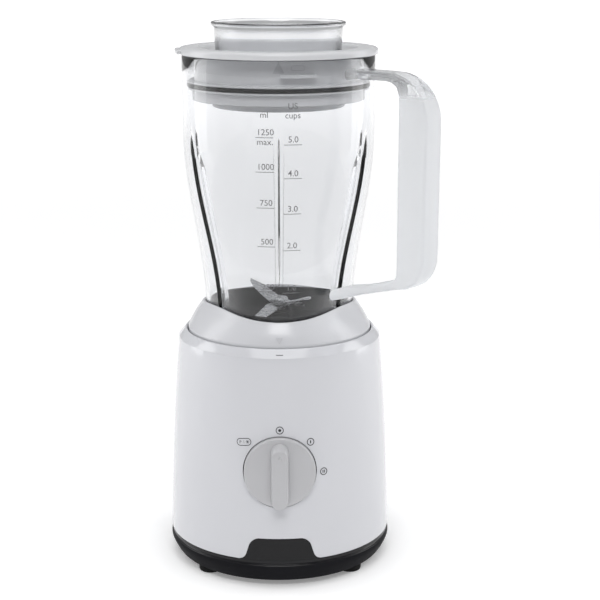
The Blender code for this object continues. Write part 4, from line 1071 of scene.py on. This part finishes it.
surface(banded("laminated_iron", (0.10, 0.10, 0.11), (0.26, 0.26, 0.28), 320, 1.0, 0.45),
        "stator_core", "armature_core")
surface(ground_steel("zinc_plate", (200, 200, 200), (0.45, 0.46, 0.48)), "upper_bracket", "lower_bracket")
surface(banded("copper_wire", (0.32, 0.11, 0.05), (0.80, 0.38, 0.20), 200, 1.0, 0.3),
        "field_coil_left", "field_coil_right", "armature_winding_upper", "armature_winding_lower")
surface(banded("copper_bars", (0.28, 0.12, 0.06), (0.82, 0.42, 0.24), 90, 1.0, 0.3, "X"), "commutator")
surface(ground_steel("sintered_bronze", (900, 900, 900), (0.60, 0.44, 0.22)), "blade_bush",
        "brush_holder_left", "brush_holder_right")
surface(moulded("pressed_carbon", (0.02, 0.02, 0.02), (0.05, 0.05, 0.05), (0.5, 0.7), 80, 2400, 0.00008),
        "carbon_brush_left", "carbon_brush_right")


# Studio
# A wide pale floor with a painted glow that grows far out and painted shade darkening it towards the front,
# a tall softbox on each side, one overhead and one high in front, and a sky that is dimmer behind the camera.

bpy.ops.object.select_all(action="DESELECT")
bpy.ops.mesh.primitive_circle_add(vertices=96, radius=14, fill_type="NGON", location=(0, 0, -0.004))
floor = bpy.context.object
floor.name = "floor"
floor_painted_glow_and_shade = moulded("floor_painted_glow_and_shade", (0.93, 0.93, 0.935), (0.95, 0.95, 0.955), (0.6, 0.7), 3, 400, 0.00001,
                      Emission_Color=(1, 1, 1, 1))
tree = floor_painted_glow_and_shade.node_tree
place = tree.nodes["Texture Coordinate"].outputs["Object"]
reach = tree.nodes.new("ShaderNodeVectorMath")
reach.operation = "LENGTH"
tree.links.new(place, reach.inputs[0])
# Painted glow: the floor gives off light of its own, weak near the middle and strong far out, to make up for the
# lamps' falloff.
glow = ranged(tree, reach.outputs["Value"], (0.24, 0.84), (0.2, 3.0))
depth = tree.nodes.new("ShaderNodeSeparateXYZ")
tree.links.new(place, depth.inputs[0])
# Painted shade: a factor of 1 near the middle and behind it, falling to 0.6 towards the front, darkening the
# floor's emission and colour there.
front = ranged(tree, depth.outputs["Y"], (0.6, 1.0), (-0.8, -0.10), smooth=True)
painted_glow_front_shaded = tree.nodes.new("ShaderNodeMath")
painted_glow_front_shaded.operation = "MULTIPLY"
tree.links.new(glow, painted_glow_front_shaded.inputs[0])
tree.links.new(front, painted_glow_front_shaded.inputs[1])
feed(tree, painted_glow_front_shaded.outputs[0], "Emission Strength")
# Painted shade: the floor's colour is mixed with grey towards the front.
shade = tree.nodes.new("ShaderNodeMix")
shade.data_type = "RGBA"
shade.inputs[6].default_value = (0.60, 0.60, 0.61, 1)
tree.links.new(front, shade.inputs[0])
tree.links.new(tree.nodes["Principled BSDF"].inputs["Base Color"].links[0].from_socket, shade.inputs[7])
feed(tree, shade.outputs[2], "Base Color")
dress(floor, floor_painted_glow_and_shade)


def softbox(name, place, aim, width, height, power):
    bpy.ops.object.select_all(action="DESELECT")
    bpy.ops.object.light_add(type="AREA", location=place)
    lamp = bpy.context.object
    lamp.name = name
    lamp.data.shape = "RECTANGLE"
    lamp.data.size = width
    lamp.data.size_y = height
    lamp.data.energy = power
    lamp.rotation_euler = (Vector(aim) - Vector(place)).to_track_quat("-Z", "Y").to_euler()
    lamp.visible_camera = False
    lamp.visible_transmission = False


softbox("softbox_left", (-1.25, 0.30, 0.45), (0, 0, 0.17), 0.55, 1.5, 5.5)
softbox("softbox_right", (1.25, 0.34, 0.45), (0, 0, 0.17), 0.55, 1.5, 5.5)
softbox("softbox_top", (0, -0.35, 1.6), (0, 0, 0.2), 1.2, 1.2, 9)
softbox("softbox_front", (0, -1.35, 1.55), (0, 0, 0.15), 1.0, 0.5, 12.5)

world = bpy.data.worlds.new("studio")
bpy.context.scene.world = world
world.use_nodes = True
tree = world.node_tree
direction = tree.nodes.new("ShaderNodeTexCoord")
split = tree.nodes.new("ShaderNodeSeparateXYZ")
tree.links.new(direction.outputs["Generated"], split.inputs[0])
sky = tree.nodes["Background"]
sky.inputs["Color"].default_value = (0.985, 0.99, 1.0, 1)
tree.links.new(ranged(tree, split.outputs["Y"], (0.18, 0.45), (-0.6, 0.3), smooth=True), sky.inputs["Strength"])

scene = bpy.context.scene
scene.view_settings.view_transform = "Standard"
scene.view_settings.look = "None"
bpy.ops.object.select_all(action="DESELECT")
bpy.ops.object.camera_add(location=(0, -1.02257, 0.42124),
                          rotation=(math.radians(90 - 13.38), 0, math.radians(-0.807)))
camera = bpy.context.object
camera.data.sensor_width = 36
camera.data.lens = 90.68
camera.data.clip_end = 60
scene.camera = camera
